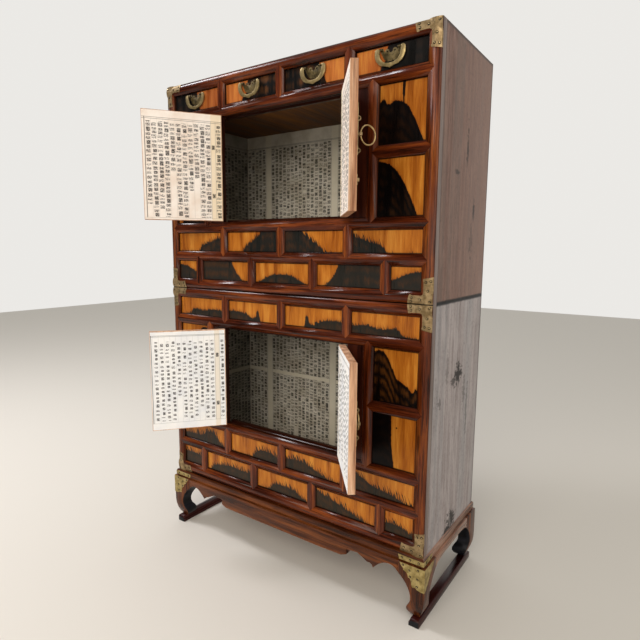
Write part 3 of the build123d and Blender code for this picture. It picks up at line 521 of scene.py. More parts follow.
def aged_side(name, colours, cool, paler_back, knots):
    """A weathered plank that stands upright, with streaks, stains, knots and dirty edges.

    paler_back is how much paler it grows towards the back.
    """
    material, tree = new_material(name)
    dark, middle, light = colours
    place = closed_space(tree)
    _, y, z = add(tree, "SeparateXYZ", (place,)).node.outputs
    fibres = grain(tree, place, "z", 2.2, 120, 6.0, 0.75)
    streaks = grain(tree, place, "z", 15, 480, 5.0, 0.7)
    colour = add(tree, "ValToRGB", (together(tree, 0.62, streaks, fibres),),
                 stops=((0.37, dark), (0.5, middle), (0.63, light)))
    boards = grain(tree, place, "z", 46, 1400, 2.0, 0.4)
    colour = stained(tree, colour, boards, 0.45, 0.62, 0.45, cool)
    # paler towards the back
    colour = stained(tree, colour, y, SIDE_LOW.y * MM, SIDE_HIGH.y * MM, paler_back, light)
    ragged = grain(tree, place, "z", 12, 7, 4.0, 0.75)
    torn = add(tree, "Math", (ragged, 0.5), operation="SUBTRACT")
    for depth, height, half_y, half_z, share in knots:
        there = add(tree, "Math", (near(tree, y, depth, 2 * half_y), near(tree, z, height, 2 * half_z)),
                    operation="MULTIPLY")
        there = add(tree, "Math", (torn, 2.2, there), operation="MULTIPLY_ADD")
        colour = stained(tree, colour, there, 0.42, 0.5, share, "1c1918")
    specks = grain(tree, place, "z", 2.0, 12, 3.0, 0.6)
    colour = stained(tree, colour, specks, 0.57, 0.66, 0.6, "352d29")
    scars = grain(tree, place, "z", 5.0, 150, 4.0, 0.7)
    colour = stained(tree, colour, scars, 0.58, 0.66, 0.28, "3a322f")
    worn = grain(tree, place, "z", 30, 110, 4.0, 0.6)
    colour = stained(tree, colour, worn, 0.5, 0.66, 0.5, light)
    edges = add(tree, "Math", (near(tree, y, SIDE_HIGH.y, 7), near(tree, z, SIDE_HIGH.z, 8)),
                operation="MAXIMUM")
    colour = stained(tree, colour, edges, 0.0, 0.5, 0.7, "38322f")
    joints = add(tree, "Math", (near(tree, y, SIDE_LOW.y, 2.5), near(tree, z, SEAM, 11.0)),
                 operation="MAXIMUM")
    joints = add(tree, "Math", (ragged, 0.5, joints), operation="MULTIPLY_ADD")
    colour = stained(tree, colour, joints, 0.6, 0.95, 0.95, "0c0a09")
    shine = add(tree, "MapRange", (streaks, 0.3, 0.7, 0.3, 0.46))
    finished(tree, joint_dirt(tree, place, colour), shine, fibres, 0.2, film=0.1)
    return material


for tier, look in SIDES.items():
    dress(f"{tier}_side_boards", aged_side("aged_side_plank_" + tier, *look, KNOTS[tier]))
print("knots:", {tier: len(knots) for tier, knots in KNOTS.items()})

# %% [markdown]
# ## Top, back and inside
#
# The top is a planed softwood plank, dry and a little dusty. The back was left rough from the saw,
# so it is the palest and dullest wood. What lies inside has kept its brown, and the boards over the
# upper room are dark from smoke, with black joints between them.

# %% Top, back and inside
INNER_COLOURS = ("5c3d28", "80593d", "9c7352")
CEILING_SEAMS = (-420, -220, -18, 190)
top_wood = plain_wood("aged_top_plank", ("3a241a", "5c3c2c", "7a5441"), "x", fibre_mm=1.5,
                      band_mm=22, length_mm=420, rough=(0.4, 0.6), bump=0.2)
back_wood = plain_wood("rough_back_plank", ("5a4030", "7d5e48", "9a7a60"), "x", fibre_mm=1.8,
                       band_mm=26, length_mm=380, rough=(0.6, 0.8), bump=0.35)
inner_wood = plain_wood("plain_inner_wood", INNER_COLOURS, "x", fibre_mm=1.5,
                        band_mm=20, length_mm=300, rough=(0.5, 0.7), bump=0.2)
guide_wood = plain_wood("plain_guide_wood", INNER_COLOURS, "y", fibre_mm=1.5,
                        band_mm=18, length_mm=240, rough=(0.5, 0.7), bump=0.2)
smoky_wood = plain_wood("smoky_ceiling_boards", ("2c1606", "5c3614", "845624"), "y", fibre_mm=2.2,
                        band_mm=30, length_mm=260, rough=(0.5, 0.7), bump=0.25, seams=CEILING_SEAMS)
BOARDS = {
    "upper_top_board": top_wood,
    "lower_top_board": inner_wood,
    "lower_bottom_board": inner_wood,
    "upper_bottom_board": inner_wood,
    "upper_dust_board": smoky_wood,
    "upper_drawer_guides": guide_wood,
    "lower_back_boards": back_wood,
    "upper_back_boards": back_wood,
} | {f"drawer_{number}_box": guide_wood for number in range(1, 5)}
for node, wood in BOARDS.items():
    dress(node, wood)
print("boards dressed:", len(BOARDS))

# %% [markdown]
# ## Persimmon
#
# The panels are the pride of such a chest. Black heartwood runs into orange sapwood, and the sawyer
# opens one log like a book, so that neighbouring panels show hills that mirror each other. The hill
# line of a row is drawn once as a curve over the whole width: its height at each place across. What
# lies below the line is heartwood, with growth lines that follow the edge, and a fringe of fine
# fibres stands up from it. The uprights hide where one panel ends.

# %% Hill line
CURVE_MARGIN = 0.1        # the curve may leave the panel by this share, above and below


def hill_line(tree, across, hills):
    """The height of the hill line, as a share of the panel, over a place from 0 to 1."""
    made = add(tree, "FloatCurve", {"Value": across})
    curve = made.node.mapping.curves[0]
    full = 1 + 2 * CURVE_MARGIN
    places = [(u, (h + CURVE_MARGIN) / full) for u, h in hills]
    while len(curve.points) < len(places):
        curve.points.new(0.5, 0.5)
    for point, place in zip(curve.points, places):
        point.location = place
        point.handle_type = "AUTO"
    made.node.mapping.use_clip = False
    made.node.mapping.update()
    return add(tree, "Math", (made, full, -CURVE_MARGIN), operation="MULTIPLY_ADD")


def shares(points, low, high):
    """Places in millimetres turned to shares of low..high."""
    return [((x - low) / (high - low), h) for x, h in points]


def inside(tree, value, low, high):
    """How far a value lies inside low..high: 0 at its ends and most in its middle."""
    off = apart(tree, value, (low + high) / 2)
    return add(tree, "Math", ((high - low) / 2, off), operation="SUBTRACT")


# %% Sapwood and heartwood
CRACK = "1a0d06"
GROWTH = 4.5 * MM         # how far it is through the heartwood for one radian of a growth line


def sapwood(tree, tone, pale, depth):
    """Orange with pale and brown bands, darker close to the heart."""
    colour = add(tree, "ValToRGB", (tone,), stops=((0.34, "76390e"), (0.5, pale), (0.69, "cc8a34")))
    return stained(tree, colour, depth, -9 * MM, 0.0, 0.45, "74360d")


def cracked(tree, colour, x, z, cracks):
    """Black wedges that open upwards: (x, z low, z high, half width) in millimetres."""
    for x0, z0, z1, half in cracks:
        reach = add(tree, "MapRange", (z, z0 * MM, z1 * MM, 0.2 * half * MM, half * MM))
        gap = add(tree, "Math", (reach, apart(tree, x, x0 * MM)), operation="SUBTRACT")
        gap = add(tree, "MapRange", (gap, -0.3 * MM, 0.3 * MM))
        above = add(tree, "MapRange", (z, (z0 - 3) * MM, z0 * MM))
        gap = add(tree, "Math", (gap, above), operation="MULTIPLY")
        colour = add(tree, "Mix", (gap, colour, CRACK), data_type="RGBA")
    return colour


def knotted(tree, colour, x, z, knots):
    """Small round knots: (x, z, radius) in millimetres."""
    for x0, z0, radius in knots:
        off_x, off_z = apart(tree, x, x0 * MM), apart(tree, z, z0 * MM)
        away = add(tree, "Math", (off_z, off_z), operation="MULTIPLY")
        away = add(tree, "Math", (off_x, off_x, away), operation="MULTIPLY_ADD")
        away = add(tree, "Math", (away,), operation="SQRT")
        colour = stained(tree, colour, away, radius * MM, 0.6 * radius * MM, 0.95, CRACK)
    return colour


def heartwood(tree, heart, depth, wander, bands, fibres, streaks):
    """Nearly black, with a share of brown growth lines that run along its edge."""
    steps = add(tree, "Math", (depth, GROWTH), operation="DIVIDE")
    steps = add(tree, "Math", (wander, 7.0, steps), operation="MULTIPLY_ADD")
    growth = add(tree, "Math", (steps,), operation="SINE")
    growth = add(tree, "Math", (growth, 0.5, 0.5), operation="MULTIPLY_ADD")
    patches = add(tree, "MapRange", (bands, 0.4, 0.62, 0.0, streaks))
    growth = add(tree, "Math", (growth, patches), operation="MULTIPLY")
    colour = add(tree, "Mix", (growth, heart, "54300f"), data_type="RGBA")
    return stained(tree, colour, fibres, 0.56, 0.74, 0.3, "2a1d12")


# %% Persimmon builder
def persimmon(name, span, rise, hills, body=None, mirror=True, streaks=0.25, fringe=3.0,
              heart="0a0806", pale="ac6418", cracks=(), knots=(), border=0.0, ends=True, film=0.28):
    """Panel wood. span and rise are the panel's or row's x and z limits, in millimetres.

    streaks is the share of brown growth lines in the heartwood, and fringe the height of its fibres.
    cracks and knots lie in the sapwood. border is the width of a painted shade along the rim,
    where the frame shades the panel, with or without the ends.
    """
    material, tree = new_material(name)
    place = closed_space(tree, body)
    flat_x, _, z = add(tree, "SeparateXYZ", (place,)).node.outputs
    wander = grain(tree, place, "z", 9, 22, 3.0, 0.6)
    leaning_x = add(tree, "Math", (z, 0.35, flat_x), operation="MULTIPLY_ADD")
    leaning = add(tree, "CombineXYZ", {"X": leaning_x, "Z": z})
    grass = grain(tree, leaning, "z", 3.2, 40, 2.0, 0.55)
    fibres = grain(tree, place, "z", 1.0, 34, 5.0, 0.65)
    bands = grain(tree, place, "z", 18, 160, 3.0, 0.5)
    # the hill line: a curve across, a fringe of fibres that lean, and a slow wander
    beside = add(tree, "Math", (flat_x,), operation="ABSOLUTE") if mirror else flat_x
    stray = add(tree, "Math", (wander, 0.5), operation="SUBTRACT")
    x = add(tree, "Math", (stray, 7 * MM, beside), operation="MULTIPLY_ADD")
    across = add(tree, "MapRange", (x, span[0] * MM, span[1] * MM))
    low, high = rise[0] * MM, rise[1] * MM
    line = add(tree, "MapRange", (hill_line(tree, across, hills), 0.0, 1.0, low, high), clamp=False)
    blades = add(tree, "MapRange", (grass, 0.44, 0.66, -0.25, 1.0))
    line = add(tree, "Math", (blades, fringe * MM, line), operation="MULTIPLY_ADD")
    line = add(tree, "Math", (stray, 3 * MM, line), operation="MULTIPLY_ADD")
    depth = add(tree, "Math", (line, z), operation="SUBTRACT")
    # sapwood above the line, heartwood below it, and painted shade along the rim
    sap = sapwood(tree, together(tree, 0.6, bands, fibres), pale, depth)
    sap = knotted(tree, cracked(tree, sap, x, z, cracks), flat_x, z, knots)
    core = heartwood(tree, heart, depth, wander, bands, fibres, streaks)
    edge = add(tree, "MapRange", (depth, -0.5 * MM, 0.7 * MM))
    colour = add(tree, "Mix", (edge, sap, core), data_type="RGBA")
    # painted shade: a dark rim round the panel, where the frame shades it
    if border:
        rim = inside(tree, z, low, high)
        if ends:
            rim = add(tree, "Math", (rim, inside(tree, beside, span[0] * MM, span[1] * MM)),
                      operation="MINIMUM")
        colour = stained(tree, colour, rim, border * MM, 0.4 * border * MM, 0.92, "0a0504")
    shine = add(tree, "MapRange", (bands, 0.3, 0.7, 0.24, 0.4))
    finished(tree, colour, shine, fibres, 0.08, film)
    return material


# %% [markdown]
# ## Hills of the rows
#
# Each pair is a place across, in millimetres from the middle of the chest, and a height as a share
# of the panel. The two upper rows and the row over the lower doors are mirrored about the middle.

# %% Rows
HALF_ROW = 418
UPPER_ROW_HIGH = [(15, 1.1), (60, 1.1), (80, 0.88), (102, 0.6), (120, 0.42), (136, 0.2), (150, 0.0),
                  (165, -0.1), (215, -0.1), (226, 0.75), (246, 0.72), (266, 0.6), (284, 0.5),
                  (304, 0.42), (320, 0.22), (330, 0.0), (345, -0.1), (418, -0.1)]
UPPER_ROW_LOW = [(0, 0.46), (30, 0.42), (56, 0.24), (82, 0.04), (96, -0.1), (128, -0.1), (142, 0.0),
                 (160, 0.24), (174, 0.52), (186, 0.82), (194, 1.1), (322, 1.1), (332, 0.4),
                 (362, 0.55), (392, 0.74), (418, 0.8)]
LOWER_ROW_TOP = [(15, -0.1), (73, -0.1), (80, 0.1), (86, 0.5), (90, 0.58), (95, 0.28), (104, 0.17),
                 (120, 0.26), (140, 0.4), (165, 0.46), (205, 0.44), (240, 0.38), (264, 0.43),
                 (292, 0.38), (310, 0.3), (340, 0.37), (362, 0.35), (374, 0.12), (398, 0.03),
                 (418, -0.05)]
LOWER_ROW_HIGH = [(-418, 0.3), (-398, 0.4), (-360, 0.4), (-330, 0.5), (-305, 0.76), (-288, 0.76),
                  (-266, 0.45), (-240, 0.06), (-228, -0.1), (-128, -0.1), (-114, 0.1), (-98, 0.42),
                  (-76, 0.58), (-45, 0.58), (-15, 0.44), (15, 0.52), (52, 0.62), (96, 0.48),
                  (140, 0.24), (178, 0.02), (205, -0.1), (226, 0.7), (252, 0.8), (276, 0.68),
                  (306, 0.46), (350, 0.33), (384, 0.16), (418, -0.05)]
LOWER_ROW_LOW = [(-418, 0.7), (-380, 0.72), (-340, 0.58), (-322, -0.08), (-306, 0.0), (-280, 0.38),
                 (-235, 0.55), (-205, 0.62), (-160, 0.56), (-124, 0.56), (-104, -0.1), (-62, -0.05),
                 (-42, 0.24), (-14, 0.5), (22, 0.5), (56, 0.34), (82, 0.12), (104, 0.0), (116, 0.85),
                 (152, 0.76), (192, 0.58), (232, 0.35), (268, 0.14), (302, -0.05), (326, 0.0),
                 (336, 0.45), (368, 0.5), (396, 0.36), (418, 0.2)]

ROWS = {
    # name: (lowest and highest z of the panels, hills, mirrored, height of the fringe, heartwood)
    "upper_high_row": ((927.5, 984), UPPER_ROW_HIGH, True, 12, "1b1c1a"),
    "upper_low_row": ((841, 897.5), UPPER_ROW_LOW, True, 5, "22201c"),
    "lower_top_row": ((725.5, 781), LOWER_ROW_TOP, True, 6, "201d17"),
    "lower_high_row": ((306.5, 363), LOWER_ROW_HIGH, False, 16, "201a10"),
    "lower_low_row": ((220, 276.5), LOWER_ROW_LOW, False, 14, "221c12"),
}
row_woods = {}
for name, (rise, hills, mirror, fringe, heart) in ROWS.items():
    first = 0 if mirror else -HALF_ROW
    row_woods[name] = persimmon("persimmon_" + name, (first, HALF_ROW), rise,
                                shares(hills, first, HALF_ROW), mirror=mirror, fringe=fringe,
                                heart=heart, streaks=0.4, border=2.5, ends=False)
print("rows of panels:", list(row_woods))

# %% [markdown]
# ## Bays beside the doors
#
# The two panels beside each door are higher than wide. Their hills stand like a wave, with the same
# mirror about the middle. One has a crack in its sapwood and one a small knot. They were never
# polished as hard as the rows, so their film of oil is thin. The narrow boards next to the doors
# are plain, and painted nearly black as shade.

# %% Bays beside the doors
BAY = (298, 418)
BAYS = {
    # name: (lowest and highest z, share of brown growth lines, hills as shares across and up)
    "upper_bay_top": ((1179.25, 1314.5), 0.12,
                      [(0, 0.7), (0.1, 0.75), (0.18, 0.67), (0.34, 0.71), (0.52, 0.66), (0.62, 0.58),
                       (0.74, 0.4), (0.86, 0.18), (0.95, 0.0), (1, -0.1)]),
    "upper_bay_low": ((1014, 1149.25), 0.2,
                      [(0, 0.95), (0.2, 0.91), (0.4, 0.78), (0.56, 0.58), (0.7, 0.34), (0.82, 0.1),
                       (0.9, -0.05), (1, -0.1)]),
    "lower_bay_top": ((559.5, 695.5), 0.65,
                      [(0, 0.93), (0.2, 0.94), (0.3, 0.86), (0.42, 0.66), (0.52, 0.48), (0.64, 0.42),
                       (0.78, 0.34), (0.89, 0.26), (0.95, 0.33), (1, 0.3)]),
    "lower_bay_low": ((393, 529.5), 0.08,
                      [(0, 1.1), (0.42, 1.1), (0.44, 0.66), (0.46, 0.36), (0.5, 0.12), (0.55, -0.08),
                       (1, -0.1)]),
}
CRACKS = {"upper_bay_top": [(360, 1254, 1306, 4.0)]}
KNOT_SPOTS = {"lower_bay_low": [(365, 499, 3.0)]}
bay_woods = {}
for name, (rise, streaks, hills) in BAYS.items():
    bay_woods[name] = persimmon("persimmon_" + name, BAY, rise, hills, streaks=streaks, fringe=2.5,
                                heart="060404", pale="a05c18", cracks=CRACKS.get(name, ()),
                                knots=KNOT_SPOTS.get(name, ()), border=3.0, film=0.12)

FIGURES = {name: row[0] for name, row in ROWS.items()} | {name: bay[0] for name, bay in BAYS.items()}
FIGURE_MARGIN = 12         # how far a panel may reach past its figure, into the grooves
JAMB_REACH = 280 * MM      # the jamb boards end here, and the bays begin


def panel_figure(polygon):
    """The figure of the row or bay that a panel's face belongs to."""
    height = polygon.center.z / MM
    beside_door = abs(polygon.center.x) > JAMB_REACH
    for name, (low, high) in FIGURES.items():
        in_bay = name in bay_woods
        if low - FIGURE_MARGIN < height < high + FIGURE_MARGIN and (beside_door or not in_bay):
            return bay_woods[name] if in_bay else row_woods[name]
    return shaded_jamb_wood


# painted shade: the narrow boards beside the doors are painted nearly black
shaded_jamb_wood = plain_wood("jamb_boards_painted_shade", ("120603", "30110a", "4a1f0f"), "z", rough=(0.26, 0.4))
for tier in ("lower", "upper"):
    dress(f"{tier}_panels", panel_figure)
print("bays:", list(bay_woods))

# %% [markdown]
# ## Drawer fronts
#
# The four drawer fronts are cut in pairs from one log as well: dark beside light, then light beside
# dark. Their edge stands nearly upright, so the hill line drops steeply.

# %% Drawers
DRAWERS = [
    # hills, share of brown growth lines in the dark part, sapwood
    ([(0, 1.1), (0.5, 1.1), (0.53, 0.75), (0.56, 0.3), (0.62, -0.1), (1, -0.1)], 0.2, "9a5224"),
    ([(0, -0.1), (0.3, -0.1), (0.35, 0.15), (0.42, 0.3), (0.45, 0.75), (0.5, 1.1), (1, 1.1)],
     0.9, "b0642a"),
    ([(0, 1.1), (0.56, 1.1), (0.6, 0.8), (0.66, 0.5), (0.7, 0.1), (0.74, -0.1), (1, -0.1)],
     0.9, "b0642a"),
    ([(0, -0.1), (0.33, -0.1), (0.37, 0.15), (0.41, 0.3), (0.44, 0.8), (0.48, 1.1), (1, 1.1)],
     0.1, "a5581f"),
]
for number, (hills, streaks, pale) in enumerate(DRAWERS, start=1):
    low, high = (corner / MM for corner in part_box(f"drawer_{number}_front"))
    # border paints a dark rim round each front as shade
    wood = persimmon(f"persimmon_drawer_{number}", (low.x, high.x), (low.z, high.z), hills,
                     mirror=False, streaks=streaks, fringe=3, heart="0c0b0a", pale=pale,
                     border=3.0)
    dress(f"drawer_{number}_front", wood)
print("drawer fronts:", len(DRAWERS))

# %% [markdown]
# ## Doors
#
# A door is a mitred frame round one bold panel. Outside it is polished like the rest of the front.
# Its edges were never oiled, so they stay pale and pinkish, with brown lines of dirt.

# %% Doors
DOOR_SPAN = (26.75, 192.75)
DOOR_RISE = {"upper": (1041.5, 1287), "lower": (420.5, 668)}
DOOR_HILLS = [(0, 0.82), (0.14, 0.78), (0.3, 0.6), (0.46, 0.5), (0.62, 0.34), (0.8, 0.22), (1, 0.1)]
DOOR_EDGES = {"upper": ("7d4f34", "b98a68", "dcb595"), "lower": ("9a6a4c", "d3a684", "f0cfb0")}


def door_face(tier, body):
    """A rule that tells the oiled outside of a door's frame from its bare edges."""
    back = Matrix.Rotation(-opened(body), 3, "Z")
    outside = plain_wood(body + "_outside", UPRIGHT_COLOURS, "z", body=body, rough=(0.2, 0.34),
                         veins=0.6)
    edge = plain_wood(body + "_edge", DOOR_EDGES[tier], "z", body=body, rough=(0.4, 0.6), veins=0.35)
    return lambda polygon: outside if (back @ polygon.normal).y < -0.2 else edge


for tier, rise in DOOR_RISE.items():
    for hand in ("left", "right"):
        body = f"{tier}_{hand}_door"
        panel = persimmon(f"persimmon_{body}", DOOR_SPAN, rise, DOOR_HILLS, body=body,
                          streaks=0.3, fringe=4)
        dress(body + "_panel", panel)
        dress(body + "_frame", door_face(tier, body))
print("doors dressed:", list(hinges))

# %% [markdown]
# ## Brass
#
# The fittings are sheet brass, beaten and filed. A century of hands and lamp smoke has made them
# olive, with brown tarnish where nobody rubs. A metal takes its colour from the base colour alone.
# Handles and rings are rubbed every day, so they are the brightest and smoothest, and the plates
# behind the handles the darkest. Smoke lies on all of them, so they are a little less than metal.

# %% Brass
METAL = 0.75                               # the share of the surface that is bare metal
BRASS_NOISES = ((16, 4.0, 0.6), (5, 1.0, 0.5), (6, 4.0, 0.7))     # size in mm, detail, roughness
BRASSES = {
    # name: (bright, dull, share of tarnish spots, roughness where dull and where bright)
    "aged_sheet_brass": ("a8906a", "7d6846", 0.6, (0.58, 0.46)),
    "rubbed_stand_brass": ("bba76f", "8d7a48", 0.6, (0.56, 0.44)),
    "dark_plate_brass": ("7c6c48", "43391f", 0.75, (0.6, 0.45)),
    "dull_handle_brass": ("b5a070", "84724a", 0.4, (0.48, 0.32)),
    "worn_ring_brass": ("d0b27c", "a3875a", 0.25, (0.42, 0.28)),
    "nail_head_brass": ("bca67a", "8c774e", 0.2, (0.42, 0.28)),
}


def aged_brass(name, bright, dull, spots, rough):
    """Sheet brass: bright and dull clouds, dark tarnish spots and faint hammer marks."""
    material, tree = new_material(name)
    place = closed_space(tree)
    cloud, beaten, stain = (add(tree, "TexNoise", (place, 1 / (size * MM), detail, roughness))
                            for size, detail, roughness in BRASS_NOISES)
    colour = add(tree, "ValToRGB", (cloud,), stops=((0.38, dull), (0.62, bright)))
    colour = stained(tree, colour, stain, 0.56, 0.68, spots, "2c2418")
    relief = add(tree, "Bump", {"Height": beaten, "Strength": 1.0, "Distance": 0.03 * MM})
    skin = add(tree, "BsdfPrincipled", {"Base Color": joint_dirt(tree, place, colour),
                                        "Metallic": METAL, "Normal": relief,
                                        "Roughness": add(tree, "MapRange", (cloud, 0.3, 0.7, *rough))})
    add(tree, "OutputMaterial", {"Surface": skin})
    return material


brass = {name: aged_brass(name, *look) for name, look in BRASSES.items()}
for node in nodes:
    if "brasses" in node:
        on_stand = node.startswith("stand")
        dress(node, brass["rubbed_stand_brass" if on_stand else "aged_sheet_brass"])
for number in range(1, 5):
    dress(f"drawer_{number}_bail", brass["dull_handle_brass"])
    dress(f"drawer_{number}_pull_plate", brass["dark_plate_brass"])
    smooth_copy(f"drawer_{number}_bail", 45, edge_mm=0.8)
    smooth_copy(f"drawer_{number}_pull_plate", 45, edge_mm=0.3)
for tier in ("upper", "lower"):
    for hand in ("left", "right"):
        dress(f"{tier}_{hand}_door_ring", brass["worn_ring_brass"])
        smooth_copy(f"{tier}_{hand}_door_ring", 60)
print("brasses:", list(brass))

# %% [markdown]
# ## Nails
#
# Small domed nails hold every plate. One dome is shaped from a ball: cut in half, closed and
# pressed flat. Its rim is black with tarnish and its top rubbed bright.

# %% One nail
NAIL_RADIUS, NAIL_HEIGHT = 3.3 * MM, 1.4 * MM
RUBBED = 0.72                              # share of its height above which a nail is bright
tarnish = plain_wood("black_tarnish", ("120e0a", "1d1710", "2c2418"), "x", fibre_mm=2.0, band_mm=4,
                     length_mm=5, rough=(0.6, 0.7), bump=0.05)

bpy.ops.object.select_all(action="DESELECT")
bpy.ops.mesh.primitive_uv_sphere_add(segments=8, ring_count=6, radius=NAIL_RADIUS)
nail = bpy.context.object
bpy.ops.object.mode_set(mode="EDIT")
bpy.ops.mesh.select_all(action="SELECT")
bpy.ops.mesh.bisect(plane_co=(0, 0, 0), plane_no=(0, 0, 1), use_fill=True, clear_inner=True)
bpy.ops.mesh.select_all(action="SELECT")
bpy.ops.transform.resize(value=(1, 1, NAIL_HEIGHT / NAIL_RADIUS), center_override=(0, 0, 0))
bpy.ops.mesh.normals_make_consistent(inside=False)
bpy.ops.object.mode_set(mode="OBJECT")
bpy.ops.object.shade_smooth_by_angle(angle=math.radians(60))
nail_shape = nail.data
nail_shape.materials.append(brass["nail_head_brass"])
nail_shape.materials.append(tarnish)
for polygon in nail_shape.polygons:
    polygon.material_index = int(polygon.center.z < RUBBED * NAIL_HEIGHT)
bpy.data.objects.remove(nail)
print("faces of one nail:", len(nail_shape.polygons))

# %% [markdown]
# ## Where the nails go
#
# Each nail starts as a ray: a point well outside the chest and a direction, as seen on the closed
# front or the side. A nail sits where its ray meets the brass, so it lies on the metal however the
# plate bends. For a door that stands open, the rays are turned with it.

# %% Places of the nails
SIDE, FRONT, OUTSIDE = 450.0, -178.5, 600  # half width, front, and where rays start, in millimetres
AHEAD, INWARDS = Vector((0, 1, 0)), Vector((-1, 0, 0))
CORNER_NAILS = [(7, 7), (54, 6), (52, 15), (31, 11), (6, 54), (17, 52), (12, 32)]
LEAF_NAILS = [(16, -15), (16, 15), (9, 0)]
LEAF_INSET = 58                            # from the end of a door to the middle of a hinge
PLATE_NAILS = [12, 44, 76, 104, 136, 168]  # degrees round a lock plate from the top
PLATE_RING, PLATE_LIFT = 46, 14            # radius of that ring, its height over the door's middle
STRAP_NAILS, STRAP_SIDE_NAILS = (8, 31, 53), (9, 36)
KNEE_NAILS = [(7, 6), (48, 5), (8, 30), (30, 14), (9, 50), (28, 30)]
UNDER_BAND, STAND_TOP = (corner.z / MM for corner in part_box("stand_band"))


def from_front(side, x, z):
    """A ray that starts in front of the chest, x from the middle on one side and at height z."""
    return Vector((side * x, -OUTSIDE, z)), AHEAD


def corner_places(base, top):
    """Rays for the corner plates of one chest front."""
    return [from_front(side, SIDE - u, end + way * v)
            for side in (-1, 1) for end, way in ((base, 1), (top, -1)) for u, v in CORNER_NAILS]


def leaf_places(low, high, away, sides=(-1, 1)):
    """Rays for the hinge leaves: away is 1 on the case and -1 on the door."""
    pin = abs(hinges["upper_left_door"]["pos_m"][0]) / MM
    heights = (low + LEAF_INSET, high - LEAF_INSET)
    return [from_front(side, pin + away * u, height + v)
            for side in sides for height in heights for u, v in LEAF_NAILS]


def plate_places(low, high, side):
    """Rays for the half of the lock plate on one door."""
    middle = (low + high) / 2 + PLATE_LIFT
    turns = [math.radians(degrees) for degrees in PLATE_NAILS]
    return [from_front(side, PLATE_RING * math.sin(turn), middle + PLATE_RING * math.cos(turn))
            for turn in turns]


def stand_places():
    """Rays for the straps and knee plates of the stand, from the front and from the sides."""
    strap = (STAND_TOP + UNDER_BAND) / 2
    front = [(u, strap) for u in STRAP_NAILS] + [(u, UNDER_BAND - d) for u, d in KNEE_NAILS]
    rays = []
    for side in (-1, 1):
        rays += [from_front(side, SIDE - u, z) for u, z in front]
        rays += [(Vector((side * OUTSIDE, FRONT + u, strap)), side * INWARDS) for u in STRAP_SIDE_NAILS]
    return rays


# %% Nails on the plates
def finish_piece(piece, name, body, slot, material=None):
    """Name, body and, where it has none yet, the material of a new piece; slot is not used."""
    piece.name = name
    piece.data.name = name
    if material is not None:
        piece.data.materials.clear()
        piece.data.materials.append(material)
    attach(piece, body)


def door_turn(body):
    """The turn from the closed door to the door as it stands open."""
    pivot = Matrix.Translation(hinges[body]["pos_m"])
    return pivot @ Matrix.Rotation(opened(body), 4, "Z") @ pivot.inverted()


def set_nails(name, node, rays, turn=Matrix.Identity(4)):
    """Nails where the rays, given for closed doors, meet a brass; one piece for them all."""
    mesh = nodes[node].data
    metal = BVHTree.FromPolygons([v.co for v in mesh.vertices], [p.vertices for p in mesh.polygons])
    heads = []
    for start, direction in rays:
        hit, normal, _, _ = metal.ray_cast(turn @ (start * MM), turn.to_3x3() @ direction)
        if hit is None:
            continue
        head = bpy.data.objects.new(name, nail_shape.copy())
        bpy.context.scene.collection.objects.link(head)
        upright = normal.to_track_quat("Z", "Y").to_matrix().to_4x4()
        head.data.transform(Matrix.Translation(hit) @ upright)
        heads.append(head)
    bpy.ops.object.select_all(action="DESELECT")
    for head in heads:
        head.select_set(True)
    bpy.context.view_layer.objects.active = heads[0]
    bpy.ops.object.join()
    finish_piece(bpy.context.object, name, nodes[node]["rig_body"], slot_of[node])
    return len(heads)


count = set_nails("stand_nails", "stand_brasses", stand_places())
for tier in ("lower", "upper"):
    base, top = (corner.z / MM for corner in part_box(f"{tier}_posts"))
    door_low, door_high = (corner.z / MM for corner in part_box(f"{tier}_left_door_frame"))
    count += set_nails(f"{tier}_nails", f"{tier}_brasses",
                       corner_places(base, top) + leaf_places(door_low, door_high, 1))
    for hand, side in (("left", -1), ("right", 1)):
        body = f"{tier}_{hand}_door"
        rays = plate_places(door_low, door_high, side) + leaf_places(door_low, door_high, -1, [side])
        count += set_nails(body + "_nails", body + "_brasses", rays, door_turn(body))
print("nails:", count)

# %% [markdown]
# ## Paper
#
# The inside of the chest and of its doors is lined with pages from old printed books. A page has a
# frame of thin lines, ruled columns, short dark dabs in the columns and a bare strip where it was
# folded. The dabs here are only spots of ink, not signs. Mulberry paper is matt and a little
# cloudy. It has kept its white on the doors and gone yellow with age in the rooms, and the paper
# on the left wall is painted grey as shade.

# %% Columns and rows of dabs
PAPER_NOISES = ((70, 4.0, 0.6), (1.6, 3.0, 0.7), (2.3, 2.0, 0.7))    # size in mm, detail, roughness


def within(tree, value, low, high, soft=0.35):
    """1 between low and high, in millimetres, and 0 outside."""
    up = add(tree, "MapRange", (value, (low - soft) * MM, (low + soft) * MM))
    down = add(tree, "MapRange", (value, (high - soft) * MM, (high + soft) * MM, 1.0, 0.0))
    return add(tree, "Math", (up, down), operation="MULTIPLY")


def limited(tree, value, masks):
    """A value multiplied by masks, each from 0 to 1."""
    for mask in masks:
        value = add(tree, "Math", (value, mask), operation="MULTIPLY")
    return value


def most(tree, value, others):
    """The largest of a value and others."""
    for other in others:
        value = add(tree, "Math", (value, other), operation="MAXIMUM")
    return value


def columns(tree, u, fold, pitch):
    """The number of the column at u, counted from the fold, and how far u is from its middle."""
    folded = add(tree, "MapRange", (u, fold[0] * MM, fold[1] * MM, 0.0, (fold[1] - fold[0]) * MM))
    count = add(tree, "Math", (u, folded), operation="SUBTRACT")
    count = add(tree, "Math", (count, fold[0] * MM), operation="SUBTRACT")
    count = add(tree, "Math", (count, pitch * MM), operation="DIVIDE")
    from_middle = add(tree, "Math", (count,), operation="FRACT")
    from_middle = add(tree, "Math", (from_middle, 0.5), operation="SUBTRACT")
    return add(tree, "Math", (count,), operation="FLOOR"), from_middle


